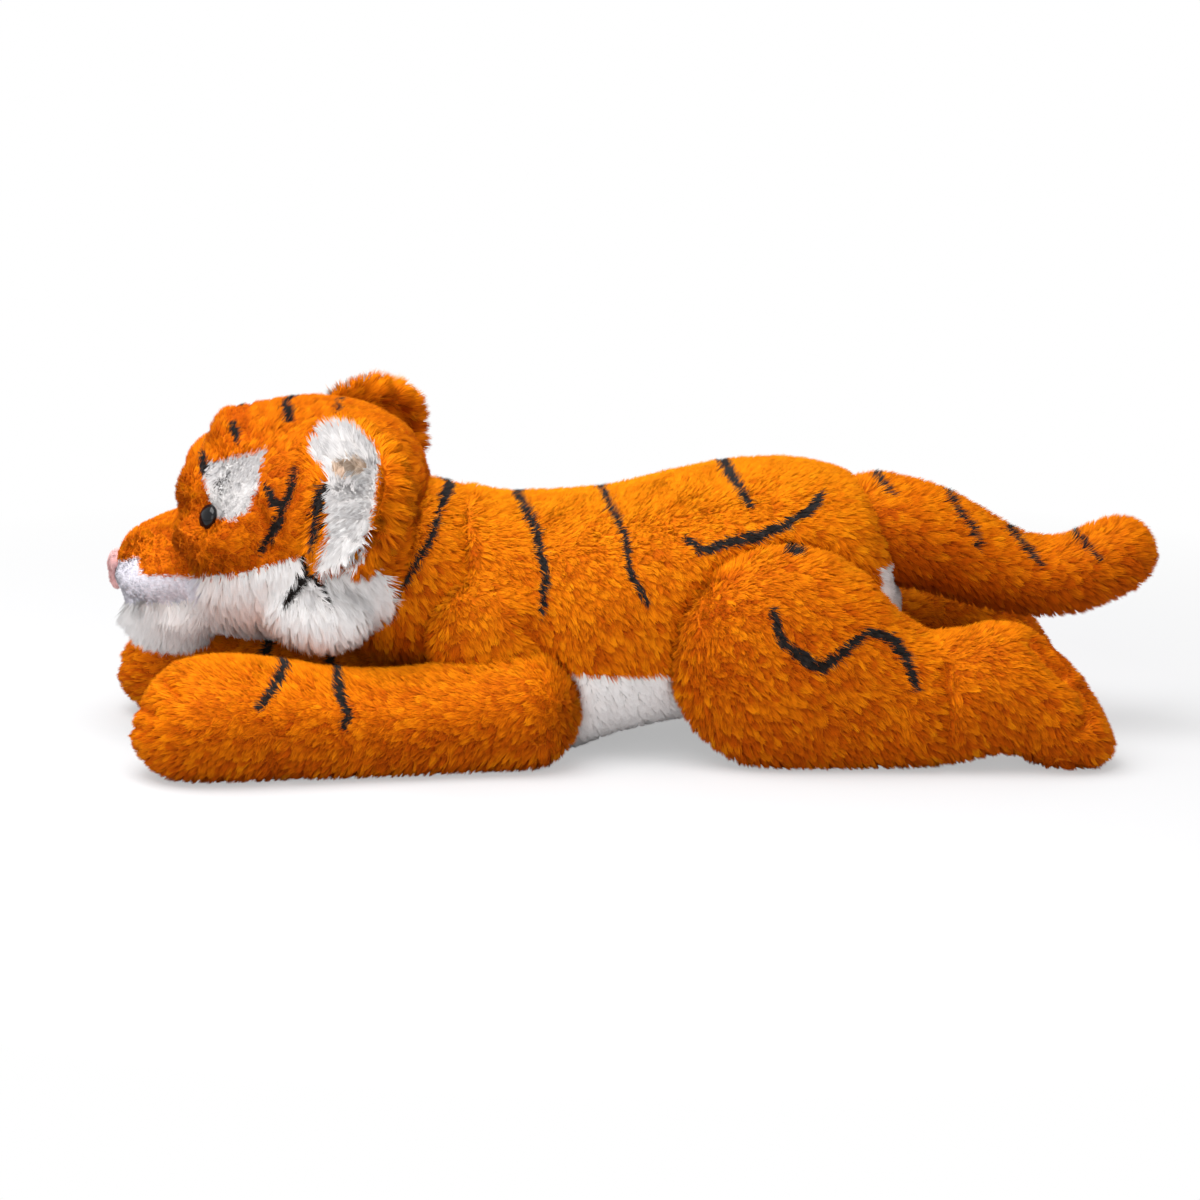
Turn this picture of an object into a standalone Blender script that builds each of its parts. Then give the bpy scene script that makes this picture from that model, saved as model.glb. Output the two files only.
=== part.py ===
"""A plush tiger that lies on its belly, head on its forelegs and hind legs stretched back.

Metres, +Z up, the head towards -X and the tiger's left side towards -Y. The origin lies on the
surface that the toy rests on, under the middle of its length. Stuffed forms are lofted along their
length through rounded cross-sections. The torso and the head are sewn skins with stuffing inside,
and the head, limbs, tail and ears turn in round seats, so that each has a free and even clearance.
"""

import math

import bmesh
import bpy
from mathutils import Matrix, Vector
from mathutils.bvhtree import BVHTree

# Fits and cloth
GAP = 0.0003
SKIN = 0.003
STUFFING_EASE = 0.0009
REST_DEPTH = 0.0005
BELLY_REST_DEPTH = 0.0018
OVERRUN = 0.25
WELD = 0.00001
SHARP_ANGLE = math.radians(50)
ROUND_EASE_SHARE = 0.5

# Torso: x of the neck opening, sizes, and the sections as shares of them
TORSO_FRONT = -0.110
TORSO_LENGTH = 0.272
TORSO_HEIGHT = 0.155
TORSO_WIDTH = 0.154
TORSO_FULLNESS = 2.4
TORSO_ROUND_SHARES = (0.0, 0.12)
TORSO_SHARES = (
    (0.0, 0.326, 1.04, 0.714),
    (0.081, 0.158, 0.994, 0.80),
    (0.154, 0.029, 0.984, 0.88),
    (0.202, 0.0, 0.987, 0.92),
    (0.257, 0.023, 0.99, 0.96),
    (0.349, 0.087, 0.997, 0.985),
    (0.46, 0.132, 1.042, 1.0),
    (0.57, 0.158, 1.087, 1.0),
    (0.68, 0.081, 1.113, 0.985),
    (0.772, 0.01, 1.113, 0.95),
    (0.816, 0.0, 1.10, 0.92),
    (0.875, 0.023, 1.074, 0.86),
    (0.937, 0.08, 1.035, 0.75),
    (1.0, 0.165, 0.97, 0.62),
)
BELLY_SEAM_SHARES = ((-0.2, 0.33), (0.84, 0.33), (0.93, 0.46), (1.1, 0.72))

# Neck: a ball that carries the head
NECK_RADIUS = 0.056
NECK_AHEAD = 0.022
NECK_HEIGHT = 0.106

# Head: its back lies behind the neck's middle, its underside over the forelegs
HEAD_BEHIND = 0.004
HEAD_TURN = math.radians(-8)
HEAD_LENGTH = 0.154
HEAD_HEIGHT = 0.137
HEAD_WIDTH = 0.160
HEAD_OVER_PAWS = 0.001
HEAD_FULLNESS = 2.15
HEAD_ROUND_SHARES = (0.1, 0.22)
HEAD_SHARES = (
    (0.0, 0.30, 0.76, 0.55),
    (0.083, 0.05, 0.86, 0.78),
    (0.242, 0.0, 0.967, 0.95),
    (0.401, 0.0, 1.0, 1.0),
    (0.56, 0.0, 0.993, 0.98),
    (0.72, 0.0, 0.945, 0.90),
    (0.86, 0.01, 0.85, 0.77),
    (0.94, 0.04, 0.74, 0.66),
    (1.0, 0.10, 0.64, 0.55),
)
CHEEK_SHARES = (
    (-0.1, 0.30),
    (0.12, 0.36),
    (0.30, 0.45),
    (0.42, 0.46),
    (0.55, 0.41),
    (0.70, 0.35),
    (0.90, 0.34),
    (1.2, 0.30),
)
PATCH_SHARES = ((0.90, 0.70), (0.86, 0.81), (0.76, 0.89), (0.63, 0.91), (0.66, 0.77), (0.74, 0.59), (0.82, 0.58))
PATCH_INNER = 0.012

# Muzzle and chin, from inside the face forwards
MUZZLE_INSIDE = 0.022
MUZZLE_LENGTH = 0.059
MUZZLE_RAISED = 0.0095
MUZZLE_HEIGHT = 0.054
MUZZLE_WIDTH = 0.084
MUZZLE_ROUND_SHARES = (0.0, 0.40)
MUZZLE_SHARES = (
    (0.0, 0.0, 1.02, 1.0),
    (0.3, 0.0, 1.0, 0.98),
    (0.6, 0.02, 0.92, 0.92),
    (0.85, 0.06, 0.80, 0.80),
    (1.0, 0.12, 0.70, 0.66),
)
BRIDGE_SEAM_SHARE = 0.42
CHIN_LENGTH = 0.054
CHIN_HEIGHT = 0.030
CHIN_WIDTH = 0.070
CHIN_ROUND_SHARES = (0.0, 0.45)
CHIN_SHARES = ((0.0, 0.0, 1.0, 1.0), (0.5, 0.0, 1.0, 0.96), (1.0, 0.12, 1.0, 0.70))

# Nose pad on the muzzle's front
NOSE_WIDTH = 0.026
NOSE_HEIGHT = 0.022
NOSE_STEM = 0.005
NOSE_PROUD = 0.003
NOSE_BACK = 0.020
NOSE_BEVEL = 0.0022
NOSE_TOP_SHARE = 0.60
NOSE_EDGE_SHARE = 0.25
NOSE_STEM_SHARE = 0.75

# Eyes: domed, each on a shank that a washer holds inside the head
EYE_RADIUS = 0.0072
EYE_DOME = 0.0052
EYE_HEIGHT = 0.078
EYE_BEARING = math.radians(61)
EYE_SOURCE_SHARE = 0.64
SHANK_RADIUS = 0.0022
SHANK_LENGTH = 0.014
WASHER_RADIUS = 0.009
WASHER_THICKNESS = 0.0022
WASHER_SEAT = 0.0026

# Ears: each turns on a stuffed roll along its seam
EAR_ALONG_SHARE = 0.41
EAR_LOW_BEARING = math.radians(-5)
EAR_HIGH_BEARING = math.radians(47)
EAR_HALF_LENGTH = 0.047
EAR_DEPTH = 0.065
EAR_THICKNESS = 0.013
EAR_RIM = 0.002
EAR_BACK_SHARE = -0.5
EAR_FRONT_SHARE = 0.5
EAR_CUP = 0.014
EAR_ROLL_RADIUS = 0.008
EAR_ROLL_SHARE = 0.72
EAR_SPREAD = math.radians(38)
EAR_FOLD = math.radians(16)
EAR_GROOVE = 0.030
EAR_LINING_START_SHARE = 0.16
EAR_LINING_SHARE = 0.86
EAR_LINING_EASE = 0.0009

# Forelegs: a ball in the chest, the forearm and the paw
SHOULDER_SHARE = 0.118
FORELEG_LENGTH = 0.268
FORELEG_HEIGHT = 0.072
FORELEG_SPAN = 0.118
FORELEG_ROUND_SHARES = (0.1343, 0.13)
FORELEG_SHARES = (
    (0.0, 0.0, 1.0, 0.237, 0.847),
    (0.134, 0.0, 1.0, 0.237, 0.847),
    (0.24, 0.0, 0.92, 0.28, 0.85),
    (0.39, 0.0, 0.84, 0.34, 0.88),
    (0.54, 0.0, 0.86, 0.365, 0.915),
    (0.67, 0.0, 0.945, 0.365, 0.965),
    (0.80, 0.0, 1.0, 0.365, 1.0),
    (0.93, 0.0, 0.93, 0.38, 0.99),
    (1.0, 0.03, 0.72, 0.42, 0.93),
)

# Hind legs: a thigh that turns in a flat round pocket, the shank and the foot
HIP_SHARE = 0.71
HIP_INNER = 0.050
HIP_OUT = 0.078
THIGH_RADIUS = 0.068
HINDLEG_LENGTH = 0.269
HINDLEG_SPAN = 0.112
HINDLEG_ROUND_SHARES = (0.2566, 0.09)
HINDLEG_SHARES = (
    (0.0, 0.0, 1.0, 0.36, 0.92),
    (0.2566, 0.0, 1.0, 0.36, 0.95),
    (0.36, 0.0, 0.955, 0.36, 0.96),
    (0.453, 0.0, 0.82, 0.38, 0.95),
    (0.51, 0.015, 0.68, 0.43, 0.95),
    (0.585, 0.033, 0.60, 0.46, 0.96),
    (0.66, 0.055, 0.62, 0.47, 0.97),
    (0.725, 0.09, 0.65, 0.475, 0.98),
    (0.785, 0.09, 0.635, 0.47, 0.99),
    (0.84, 0.01, 0.575, 0.46, 1.0),
    (0.905, 0.0, 0.445, 0.455, 1.0),
    (0.96, 0.0, 0.30, 0.47, 0.98),
    (1.0, 0.02, 0.15, 0.50, 0.93),
)

# Tail: a ball in the rump, then a drooping length with a raised tip
TAIL_RADIUS = 0.031
TAIL_AHEAD = 0.012
TAIL_HEIGHT = 0.132
TAIL_LENGTH = 0.1691
TAIL_DROP = 0.040
TAIL_TIP_SHARE = 0.09
TAIL_STEP_SHARE = 0.0003
TAIL_SHARES = (
    (0.0, 0.0, 1.0),
    (0.17, -0.14, 0.94),
    (0.33, -0.42, 0.84),
    (0.50, -0.72, 0.72),
    (0.68, -0.78, 0.69),
    (0.84, -0.56, 0.68),
    (1.0, -0.18, 0.62),
)
TAIL_CLEARANCE = 0.0015
TAIL_EASE = 0.0006

# Facets
TORSO_FACETS = (17, 24)
HEAD_FACETS = (16, 24)
MUZZLE_FACETS = (7, 18)
CHIN_FACETS = (5, 16)
LEG_FACETS = (17, 18)
TAIL_FACETS = (15, 14)
TORSO_LINING_FACETS = (13, 14)
HEAD_LINING_FACETS = (10, 14)
BALL_FACETS = (24, 12)
SEAT_FACETS = (30, 15)
ROUND_SIDES = 12
EAR_FACETS = (8, 5)

# Colours: linear red, green, blue, then roughness
COLOURS = {
    "orange_fur": (0.74, 0.27, 0.02, 0.95),
    "white_fur": (0.86, 0.84, 0.83, 0.95),
    "muzzle_fur": (0.80, 0.76, 0.82, 0.95),
    "nose_fur": (0.78, 0.44, 0.44, 0.85),
    "stuffing": (0.88, 0.87, 0.84, 1.0),
    "eye_plastic": (0.01, 0.01, 0.012, 0.12),
    "washer_plastic": (0.75, 0.75, 0.72, 0.45),
}

SIDES = {"left": -1, "right": 1}
TURNED_PIECES = ("head", "cheek", "eye", "ear", "bridge", "muzzle", "chin", "nose")


def clear_scene():
    for old in list(bpy.data.objects):
        bpy.data.objects.remove(old, do_unlink=True)


def material(name):
    found = bpy.data.materials.get(name)
    if found:
        return found
    made = bpy.data.materials.new(name)
    made.use_nodes = True
    shader = made.node_tree.nodes["Principled BSDF"]
    red, green, blue, roughness = COLOURS[name]
    shader.inputs["Base Color"].default_value = (red, green, blue, 1.0)
    shader.inputs["Roughness"].default_value = roughness
    shader.inputs["Metallic"].default_value = 0.0
    return made


def body(bm, name="tool"):
    """A closed mesh as an object, its faces turned outwards."""
    bmesh.ops.remove_doubles(bm, verts=bm.verts, dist=WELD)
    bmesh.ops.recalc_face_normals(bm, faces=bm.faces)
    mesh = bpy.data.meshes.new(name)
    bm.to_mesh(mesh)
    bm.free()
    made = bpy.data.objects.new(name, mesh)
    bpy.context.scene.collection.objects.link(made)
    return made


def copy(source, name="tool"):
    made = source.copy()
    made.data = source.data.copy()
    made.name = name
    bpy.context.scene.collection.objects.link(made)
    return made


def combine(target, tool, operation):
    """Applies one boolean to the target's mesh and welds the specks it leaves."""
    modifier = target.modifiers.new("cut", "BOOLEAN")
    modifier.operation = operation
    modifier.solver = "EXACT"
    modifier.object = tool
    graph = bpy.context.evaluated_depsgraph_get()
    mesh = bpy.data.meshes.new_from_object(target.evaluated_get(graph))
    target.modifiers.clear()
    target.data = mesh
    bm = bmesh.new()
    bm.from_mesh(mesh)
    bmesh.ops.remove_doubles(bm, verts=bm.verts, dist=WELD)
    bmesh.ops.dissolve_degenerate(bm, dist=WELD, edges=bm.edges)
    bm.to_mesh(mesh)
    bm.free()


def cut(target, *tools):
    for tool in tools:
        combine(target, tool, "DIFFERENCE")


def keep_inside(target, *tools):
    for tool in tools:
        combine(target, tool, "INTERSECT")


def finish(made, name, slot, pivot=None):
    """Names a piece, gives it its material and puts a moving piece's origin on its joint."""
    made.name = name
    made.data.name = name
    made.data.materials.clear()
    made.data.materials.append(material(slot))
    made.data.shade_smooth()
    made.data.set_sharp_from_angle(angle=SHARP_ANGLE)
    if pivot:
        made.data.transform(Matrix.Translation(-pivot))
        made.location = pivot


def between(rows, at):
    """The values of a table of shares at one share, on a smooth curve through its rows."""
    last = len(rows) - 2
    index = min(max(sum(row[0] <= at for row in rows) - 1, 0), last)
    low, high = rows[index], rows[index + 1]
    before = rows[max(index - 1, 0)]
    after = rows[min(index + 2, last + 1)]
    span = high[0] - low[0]
    step = (at - low[0]) / span
    values = []
    for column in range(1, len(low)):
        leave = (high[column] - before[column]) / (high[0] - before[0]) * span
        arrive = (after[column] - low[column]) / (after[0] - low[0]) * span
        rise = high[column] - low[column]
        bend = step * step * (3 - 2 * step)
        leaving = leave * step * (1 - step) ** 2
        arriving = arrive * step * step * (step - 1)
        values.append(low[column] + rise * bend + leaving + arriving)
    return values


def end_round(share, first, last):
    """How far a section has swollen at a share of the length, with round ends."""
    swell = 1.0
    if first and share < first:
        swell = math.sqrt(1 - (1 - share / first) ** 2)
    if last and share > 1 - last:
        swell = min(swell, math.sqrt(1 - (1 - (1 - share) / last) ** 2))
    return swell


def skin_rings(bm, rings, first_pole, last_pole):
    """Joins rings of points into one closed surface with a pole at each end."""
    loops = [[bm.verts.new(point) for point in ring] for ring in rings]
    count = len(loops[0])
    for low, high in zip(loops, loops[1:]):
        for k in range(count):
            bm.faces.new((low[k], low[(k + 1) % count], high[(k + 1) % count], high[k]))
    for loop, pole in ((loops[0], first_pole), (loops[-1], last_pole)):
        tip = bm.verts.new(pole)
        for k in range(count):
            bm.faces.new((tip, loop[k], loop[(k + 1) % count]))


def spaced(count, first, last):
    """Shares along a form, closer together in its round ends."""
    shares = []
    for k in range(count):
        even = (k + 0.5) / count
        eased = (1 - math.cos(math.pi * even)) / 2
        blend = ROUND_EASE_SHARE if first or last else 0.0
        shares.append(even + (eased - even) * blend)
    return shares


class Form:
    """A stuffed form along X, from its start in one direction.

    Each row of shares holds a place along it and its bottom, top, inner and outer edges there.
    A grown form is larger all round by that much, and a negative growth gives its inner face.
    """

    def __init__(self, start, direction, size, rows, rounds, facets, fullness=2.0, base=0.0, side=1):
        self.start = start
        self.direction = direction
        self.length, self.height, self.half_span = size
        self.rows = rows
        self.rounds = rounds
        self.facets = facets
        self.fullness = fullness
        self.base = base
        self.side = side

    def edges(self, share):
        values = between(self.rows, share)
        if len(values) == 3:
            bottom, top, half = values
            inner, outer = -half, half
        else:
            bottom, top, inner, outer = values
        low = self.base + bottom * self.height
        high = self.base + top * self.height
        return low, high, inner * self.half_span, outer * self.half_span

    def ring(self, share, swell, grown, count):
        low, high, inner, outer = self.edges(share)
        half_height = ((high - low) / 2 + grown) * swell
        half_width = ((outer - inner) / 2 + grown) * swell
        middle_z = (low + high) / 2
        middle_y = (inner + outer) / 2
        power = 2 / self.fullness
        points = []
        for k in range(count):
            angle = 2 * math.pi * k / count - math.pi / 2
            across = math.copysign(abs(math.cos(angle)) ** power, math.cos(angle))
            up = math.copysign(abs(math.sin(angle)) ** power, math.sin(angle))
            points.append((self.side * (middle_y + half_width * across), middle_z + half_height * up))
        return points

    def place(self, share):
        return self.start + self.direction * share * self.length

    def solid(self, grown=0.0, facets=None):
        """The closed surface of the form, grown all round."""
        ring_count, side_count = facets or self.facets
        first, last = self.rounds
        begin = self.start - self.direction * grown
        length = self.length + 2 * grown
        rings = []
        for along in spaced(ring_count, first, last):
            x = begin + self.direction * along * length
            share = min(max((x - self.start) / (self.direction * self.length), 0.0), 1.0)
            swell = end_round(along, first, last)
            rings.append([Vector((x, y, z)) for y, z in self.ring(share, swell, grown, side_count)])
        poles = []
        for share, x in ((0.0, begin), (1.0, begin + self.direction * length)):
            low, high, inner, outer = self.edges(share)
            poles.append(Vector((x, self.side * (inner + outer) / 2, (low + high) / 2)))
        if not first:
            rings.insert(0, self.flat_end(0.0, begin, grown, side_count))
        if not last:
            rings.append(self.flat_end(1.0, poles[1].x, grown, side_count))
        bm = bmesh.new()
        skin_rings(bm, rings, *poles)
        return body(bm)

    def flat_end(self, share, x, grown, side_count):
        return [Vector((x, y, z)) for y, z in self.ring(share, 1.0, grown, side_count)]


def ball(centre, radius, facets=BALL_FACETS):
    bm = bmesh.new()
    bmesh.ops.create_uvsphere(bm, u_segments=facets[0], v_segments=facets[1], radius=radius)
    bmesh.ops.translate(bm, verts=bm.verts, vec=centre)
    return body(bm)


def seat(centre, radius):
    """A ball cutter whose flats, not its corners, clear a ball of that radius."""
    return ball(centre, (radius + GAP) / math.cos(math.pi / SEAT_FACETS[0]) ** 2, SEAT_FACETS)


def rod(start, end, radius, sides=ROUND_SIDES):
    """A round bar between two points."""
    along = end - start
    bm = bmesh.new()
    bmesh.ops.create_cone(
        bm, cap_ends=True, segments=sides, radius1=radius, radius2=radius, depth=along.length
    )
    turn = Vector((0, 0, 1)).rotation_difference(along.normalized())
    middle = Matrix.Translation((start + end) / 2)
    bmesh.ops.transform(bm, matrix=middle @ turn.to_matrix().to_4x4(), verts=bm.verts)
    return body(bm)


def block(low, high):
    """A box between two corners."""
    bm = bmesh.new()
    bmesh.ops.create_cube(bm, size=1.0)
    low, high = Vector(low), Vector(high)
    bmesh.ops.scale(bm, verts=bm.verts, vec=high - low)
    bmesh.ops.translate(bm, verts=bm.verts, vec=(low + high) / 2)
    return body(bm)


def prism(points, reach):
    """A closed outline of points pushed along one vector."""
    bm = bmesh.new()
    face = bm.faces.new([bm.verts.new(point) for point in points])
    pushed = bmesh.ops.extrude_face_region(bm, geom=[face])["geom"]
    moved = [item for item in pushed if isinstance(item, bmesh.types.BMVert)]
    bmesh.ops.translate(bm, verts=moved, vec=reach)
    return body(bm)


def under_floor():
    low = (-OVERRUN - TORSO_LENGTH, -OVERRUN, -OVERRUN)
    return block(low, (OVERRUN + TORSO_LENGTH, OVERRUN, 0))


def outline_tool(points, y_from, y_to):
    """A cutter through Y from an outline of (x, z) points."""
    return prism([Vector((x, y_from, z)) for x, z in points], Vector((0, y_to - y_from, 0)))


def shrunk(points, distance):
    """An outline of (x, z) points moved inwards."""
    count = len(points)
    area = sum(
        points[k][0] * points[(k + 1) % count][1] - points[(k + 1) % count][0] * points[k][1]
        for k in range(count)
    )
    turn = math.copysign(1, area)
    moved = []
    for k in range(count):
        before = Vector(points[k]) - Vector(points[k - 1])
        after = Vector(points[(k + 1) % count]) - Vector(points[k])
        inward = Vector((-before.y, before.x)).normalized() + Vector((-after.y, after.x)).normalized()
        inward.normalize()
        moved.append(tuple(Vector(points[k]) + inward * turn * distance))
    return moved


TORSO = Form(
    TORSO_FRONT,
    1,
    (TORSO_LENGTH, TORSO_HEIGHT, TORSO_WIDTH / 2),
    TORSO_SHARES,
    TORSO_ROUND_SHARES,
    TORSO_FACETS,
    TORSO_FULLNESS,
    base=-BELLY_REST_DEPTH,
)
NECK_CENTRE = Vector((TORSO_FRONT - NECK_AHEAD, 0, NECK_HEIGHT))
HEAD_BASE = FORELEG_HEIGHT - REST_DEPTH + HEAD_OVER_PAWS
HEAD = Form(
    NECK_CENTRE.x + HEAD_BEHIND,
    -1,
    (HEAD_LENGTH, HEAD_HEIGHT, HEAD_WIDTH / 2),
    HEAD_SHARES,
    HEAD_ROUND_SHARES,
    HEAD_FACETS,
    HEAD_FULLNESS,
    base=HEAD_BASE,
)
FACE_FRONT = HEAD.place(1)
MUZZLE = Form(
    FACE_FRONT + MUZZLE_INSIDE,
    -1,
    (MUZZLE_LENGTH, MUZZLE_HEIGHT, MUZZLE_WIDTH / 2),
    MUZZLE_SHARES,
    MUZZLE_ROUND_SHARES,
    MUZZLE_FACETS,
    base=HEAD_BASE + MUZZLE_RAISED,
)
CHIN = Form(
    FACE_FRONT + MUZZLE_INSIDE,
    -1,
    (CHIN_LENGTH, CHIN_HEIGHT, CHIN_WIDTH / 2),
    CHIN_SHARES,
    CHIN_ROUND_SHARES,
    CHIN_FACETS,
    base=HEAD_BASE,
)
SHOULDER_RADIUS = FORELEG_HEIGHT / 2
SHOULDER = Vector((TORSO.place(SHOULDER_SHARE), 0, SHOULDER_RADIUS - REST_DEPTH))
HIP = Vector((TORSO.place(HIP_SHARE), 0, THIGH_RADIUS - REST_DEPTH))
TAIL_ROOT = Vector((TORSO.place(1) - TAIL_AHEAD, 0, TAIL_HEIGHT))


def foreleg_form(side):
    return Form(
        SHOULDER.x + SHOULDER_RADIUS,
        -1,
        (FORELEG_LENGTH, FORELEG_HEIGHT, FORELEG_SPAN),
        FORELEG_SHARES,
        FORELEG_ROUND_SHARES,
        LEG_FACETS,
        base=-REST_DEPTH,
        side=side,
    )


def hindleg_form(side):
    return Form(
        HIP.x - THIGH_RADIUS,
        1,
        (HINDLEG_LENGTH, 2 * THIGH_RADIUS, HINDLEG_SPAN),
        HINDLEG_SHARES,
        HINDLEG_ROUND_SHARES,
        LEG_FACETS,
        base=-REST_DEPTH,
        side=side,
    )


def shoulder_centre(side):
    inner, outer = foreleg_form(side).edges(FORELEG_ROUND_SHARES[0])[2:]
    return Vector((SHOULDER.x, side * (inner + outer) / 2, SHOULDER.z))


def make_forelegs():
    for name, side in SIDES.items():
        leg = foreleg_form(side).solid()
        cut(leg, under_floor())
        finish(leg, f"foreleg_{name}", "orange_fur", shoulder_centre(side))


def foreleg_tools():
    """What the forelegs take out of the torso."""
    tools = []
    for side in SIDES.values():
        tools.append(seat(shoulder_centre(side), SHOULDER_RADIUS))
        tools.append(foreleg_form(side).solid(GAP))
    return tools


def make_hindlegs():
    for name, side in SIDES.items():
        leg = hindleg_form(side).solid()
        reach = HIP_INNER + GAP
        low = (HIP.x - OVERRUN, -reach, -OVERRUN)
        high = (HIP.x + OVERRUN, reach, OVERRUN)
        cut(leg, under_floor(), block(low, high))
        finish(leg, f"hindleg_{name}", "orange_fur", Vector((HIP.x, side * HIP_OUT, HIP.z)))


def hip_tools():
    """A flat round pocket in each side of the rump, about the hip's axis."""
    sides = SEAT_FACETS[0]
    radius = (THIGH_RADIUS + GAP) / math.cos(math.pi / sides)
    tools = []
    for side in SIDES.values():
        start = Vector((HIP.x, side * HIP_INNER, HIP.z))
        tools.append(rod(start, start + Vector((0, side * OVERRUN, 0)), radius, sides))
    return tools


def tail_path():
    """The tail's middle line and its radius there."""
    stations = []
    for share, rise, swell in TAIL_SHARES:
        place = TAIL_ROOT + Vector((share * TAIL_LENGTH, 0, rise * TAIL_DROP))
        stations.append((place, swell * TAIL_RADIUS))
    return stations


def make_tail():
    stations = tail_path()
    first = (stations[1][0] - stations[0][0]).normalized()
    stations.insert(0, (TAIL_ROOT - first * TAIL_RADIUS, TAIL_RADIUS))
    lengths = [0.0]
    for (here, _), (there, _) in zip(stations, stations[1:]):
        lengths.append(lengths[-1] + (there - here).length)
    total = lengths[-1]
    rows = [
        (length / total, place.x, place.z, radius)
        for length, (place, radius) in zip(lengths, stations)
    ]
    ring_count, side_count = TAIL_FACETS
    root_share = TAIL_RADIUS / total
    rings = []
    for along in spaced(ring_count, root_share, TAIL_TIP_SHARE):
        x, z, radius = between(rows, along)
        ahead_x, ahead_z, _ = between(rows, min(along + TAIL_STEP_SHARE, 1.0))
        back_x, back_z, _ = between(rows, max(along - TAIL_STEP_SHARE, 0.0))
        run = Vector((ahead_x - back_x, 0, ahead_z - back_z)).normalized()
        up = Vector((-run.z, 0, run.x))
        radius = radius * end_round(along, root_share, TAIL_TIP_SHARE)
        ring = []
        for k in range(side_count):
            angle = 2 * math.pi * k / side_count - math.pi / 2
            across = Vector((0, 1, 0)) * math.cos(angle) + up * math.sin(angle)
            ring.append(Vector((x, 0, z)) + across * radius)
        rings.append(ring)
    bm = bmesh.new()
    skin_rings(bm, rings, stations[0][0], stations[-1][0])
    finish(body(bm), "tail", "orange_fur", TAIL_ROOT)


def tail_tools():
    """The tail ball's seat, and the room behind it for the tail to swing."""
    low = Vector((TAIL_ROOT.x + TAIL_CLEARANCE, -OVERRUN, TAIL_ROOT.z - TAIL_RADIUS - SKIN))
    return [seat(TAIL_ROOT, TAIL_RADIUS + TAIL_EASE), block(low, low + Vector((OVERRUN, 2 * OVERRUN, OVERRUN)))]


def torso_point(shares):
    along, height = shares
    return TORSO.place(along), TORSO.base + height * TORSO_HEIGHT


def make_torso():
    """The orange back skin, the white belly panel and the stuffing between them."""
    seats = foreleg_tools() + hip_tools() + tail_tools()
    seats += [seat(NECK_CENTRE, NECK_RADIUS), under_floor()]
    seam = [torso_point(shares) for shares in BELLY_SEAM_SHARES]
    below = [(seam[-1][0], -OVERRUN), (seam[0][0], -OVERRUN)]
    back = TORSO.solid()
    belly = copy(back)
    cut(back, outline_tool(seam + below, -OVERRUN, OVERRUN))
    keep_inside(belly, outline_tool(shrunk(seam + below, GAP), -OVERRUN, OVERRUN))
    lining = TORSO.solid(-SKIN, TORSO_LINING_FACETS)
    for made, name, slot in ((back, "torso_skin", "orange_fur"), (belly, "belly_panel", "white_fur")):
        cut(made, *seats, lining)
        finish(made, name, slot)
    stuffing = TORSO.solid(-SKIN - STUFFING_EASE, TORSO_LINING_FACETS)
    cut(stuffing, *seats)
    finish(stuffing, "torso_stuffing", "stuffing")


def make_neck():
    finish(ball(NECK_CENTRE, NECK_RADIUS), "neck", "orange_fur", NECK_CENTRE)


def head_point(shares):
    along, height = shares
    return HEAD.place(along), HEAD_BASE + height * HEAD_HEIGHT


def surface_hit(form, source, direction):
    """Where a line from inside a form leaves it, and the way that the surface faces there."""
    skin = form.solid()
    tree = BVHTree.FromObject(skin, bpy.context.evaluated_depsgraph_get())
    bpy.data.objects.remove(skin)
    place, facing = tree.ray_cast(source, direction)[:2]
    return place, facing


def eye_axis(side):
    source = Vector((HEAD.place(EYE_SOURCE_SHARE), 0, HEAD_BASE + EYE_HEIGHT))
    out = Vector((-math.cos(EYE_BEARING), side * math.sin(EYE_BEARING), 0))
    return surface_hit(HEAD, source, out)


def make_eyes():
    for name, side in SIDES.items():
        place, out = eye_axis(side)
        bm = bmesh.new()
        bmesh.ops.create_uvsphere(bm, u_segments=ROUND_SIDES, v_segments=ROUND_SIDES // 2, radius=EYE_RADIUS)
        bmesh.ops.scale(bm, verts=bm.verts, vec=(1, 1, EYE_DOME / EYE_RADIUS))
        turn = Vector((0, 0, 1)).rotation_difference(out)
        bmesh.ops.transform(bm, matrix=Matrix.Translation(place) @ turn.to_matrix().to_4x4(), verts=bm.verts)
        eye = body(bm)
        cut(eye, HEAD.solid(GAP))
        shank = rod(place + out * EYE_DOME / 2, place - out * SHANK_LENGTH, SHANK_RADIUS)
        combine(eye, shank, "UNION")
        finish(eye, f"eye_{name}", "eye_plastic", NECK_CENTRE)
        face = place - out * (SKIN + WASHER_SEAT)
        washer = rod(face, face - out * WASHER_THICKNESS, WASHER_RADIUS)
        cut(washer, rod(face + out * SKIN, face - out * SHANK_LENGTH, SHANK_RADIUS + GAP))
        finish(washer, f"eye_washer_{name}", "washer_plastic", NECK_CENTRE)


def eye_tools():
    """The shank's hole in the skin, and its pocket with the washer in the stuffing."""
    holes, pockets = [], []
    for side in SIDES.values():
        place, out = eye_axis(side)
        holes.append(rod(place + out * EYE_RADIUS, place - out * SHANK_LENGTH, SHANK_RADIUS + GAP))
        depth = SHANK_LENGTH + 2 * GAP
        pockets.append(rod(place + out * EYE_RADIUS, place - out * depth, WASHER_RADIUS + GAP))
    return holes, pockets


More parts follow.
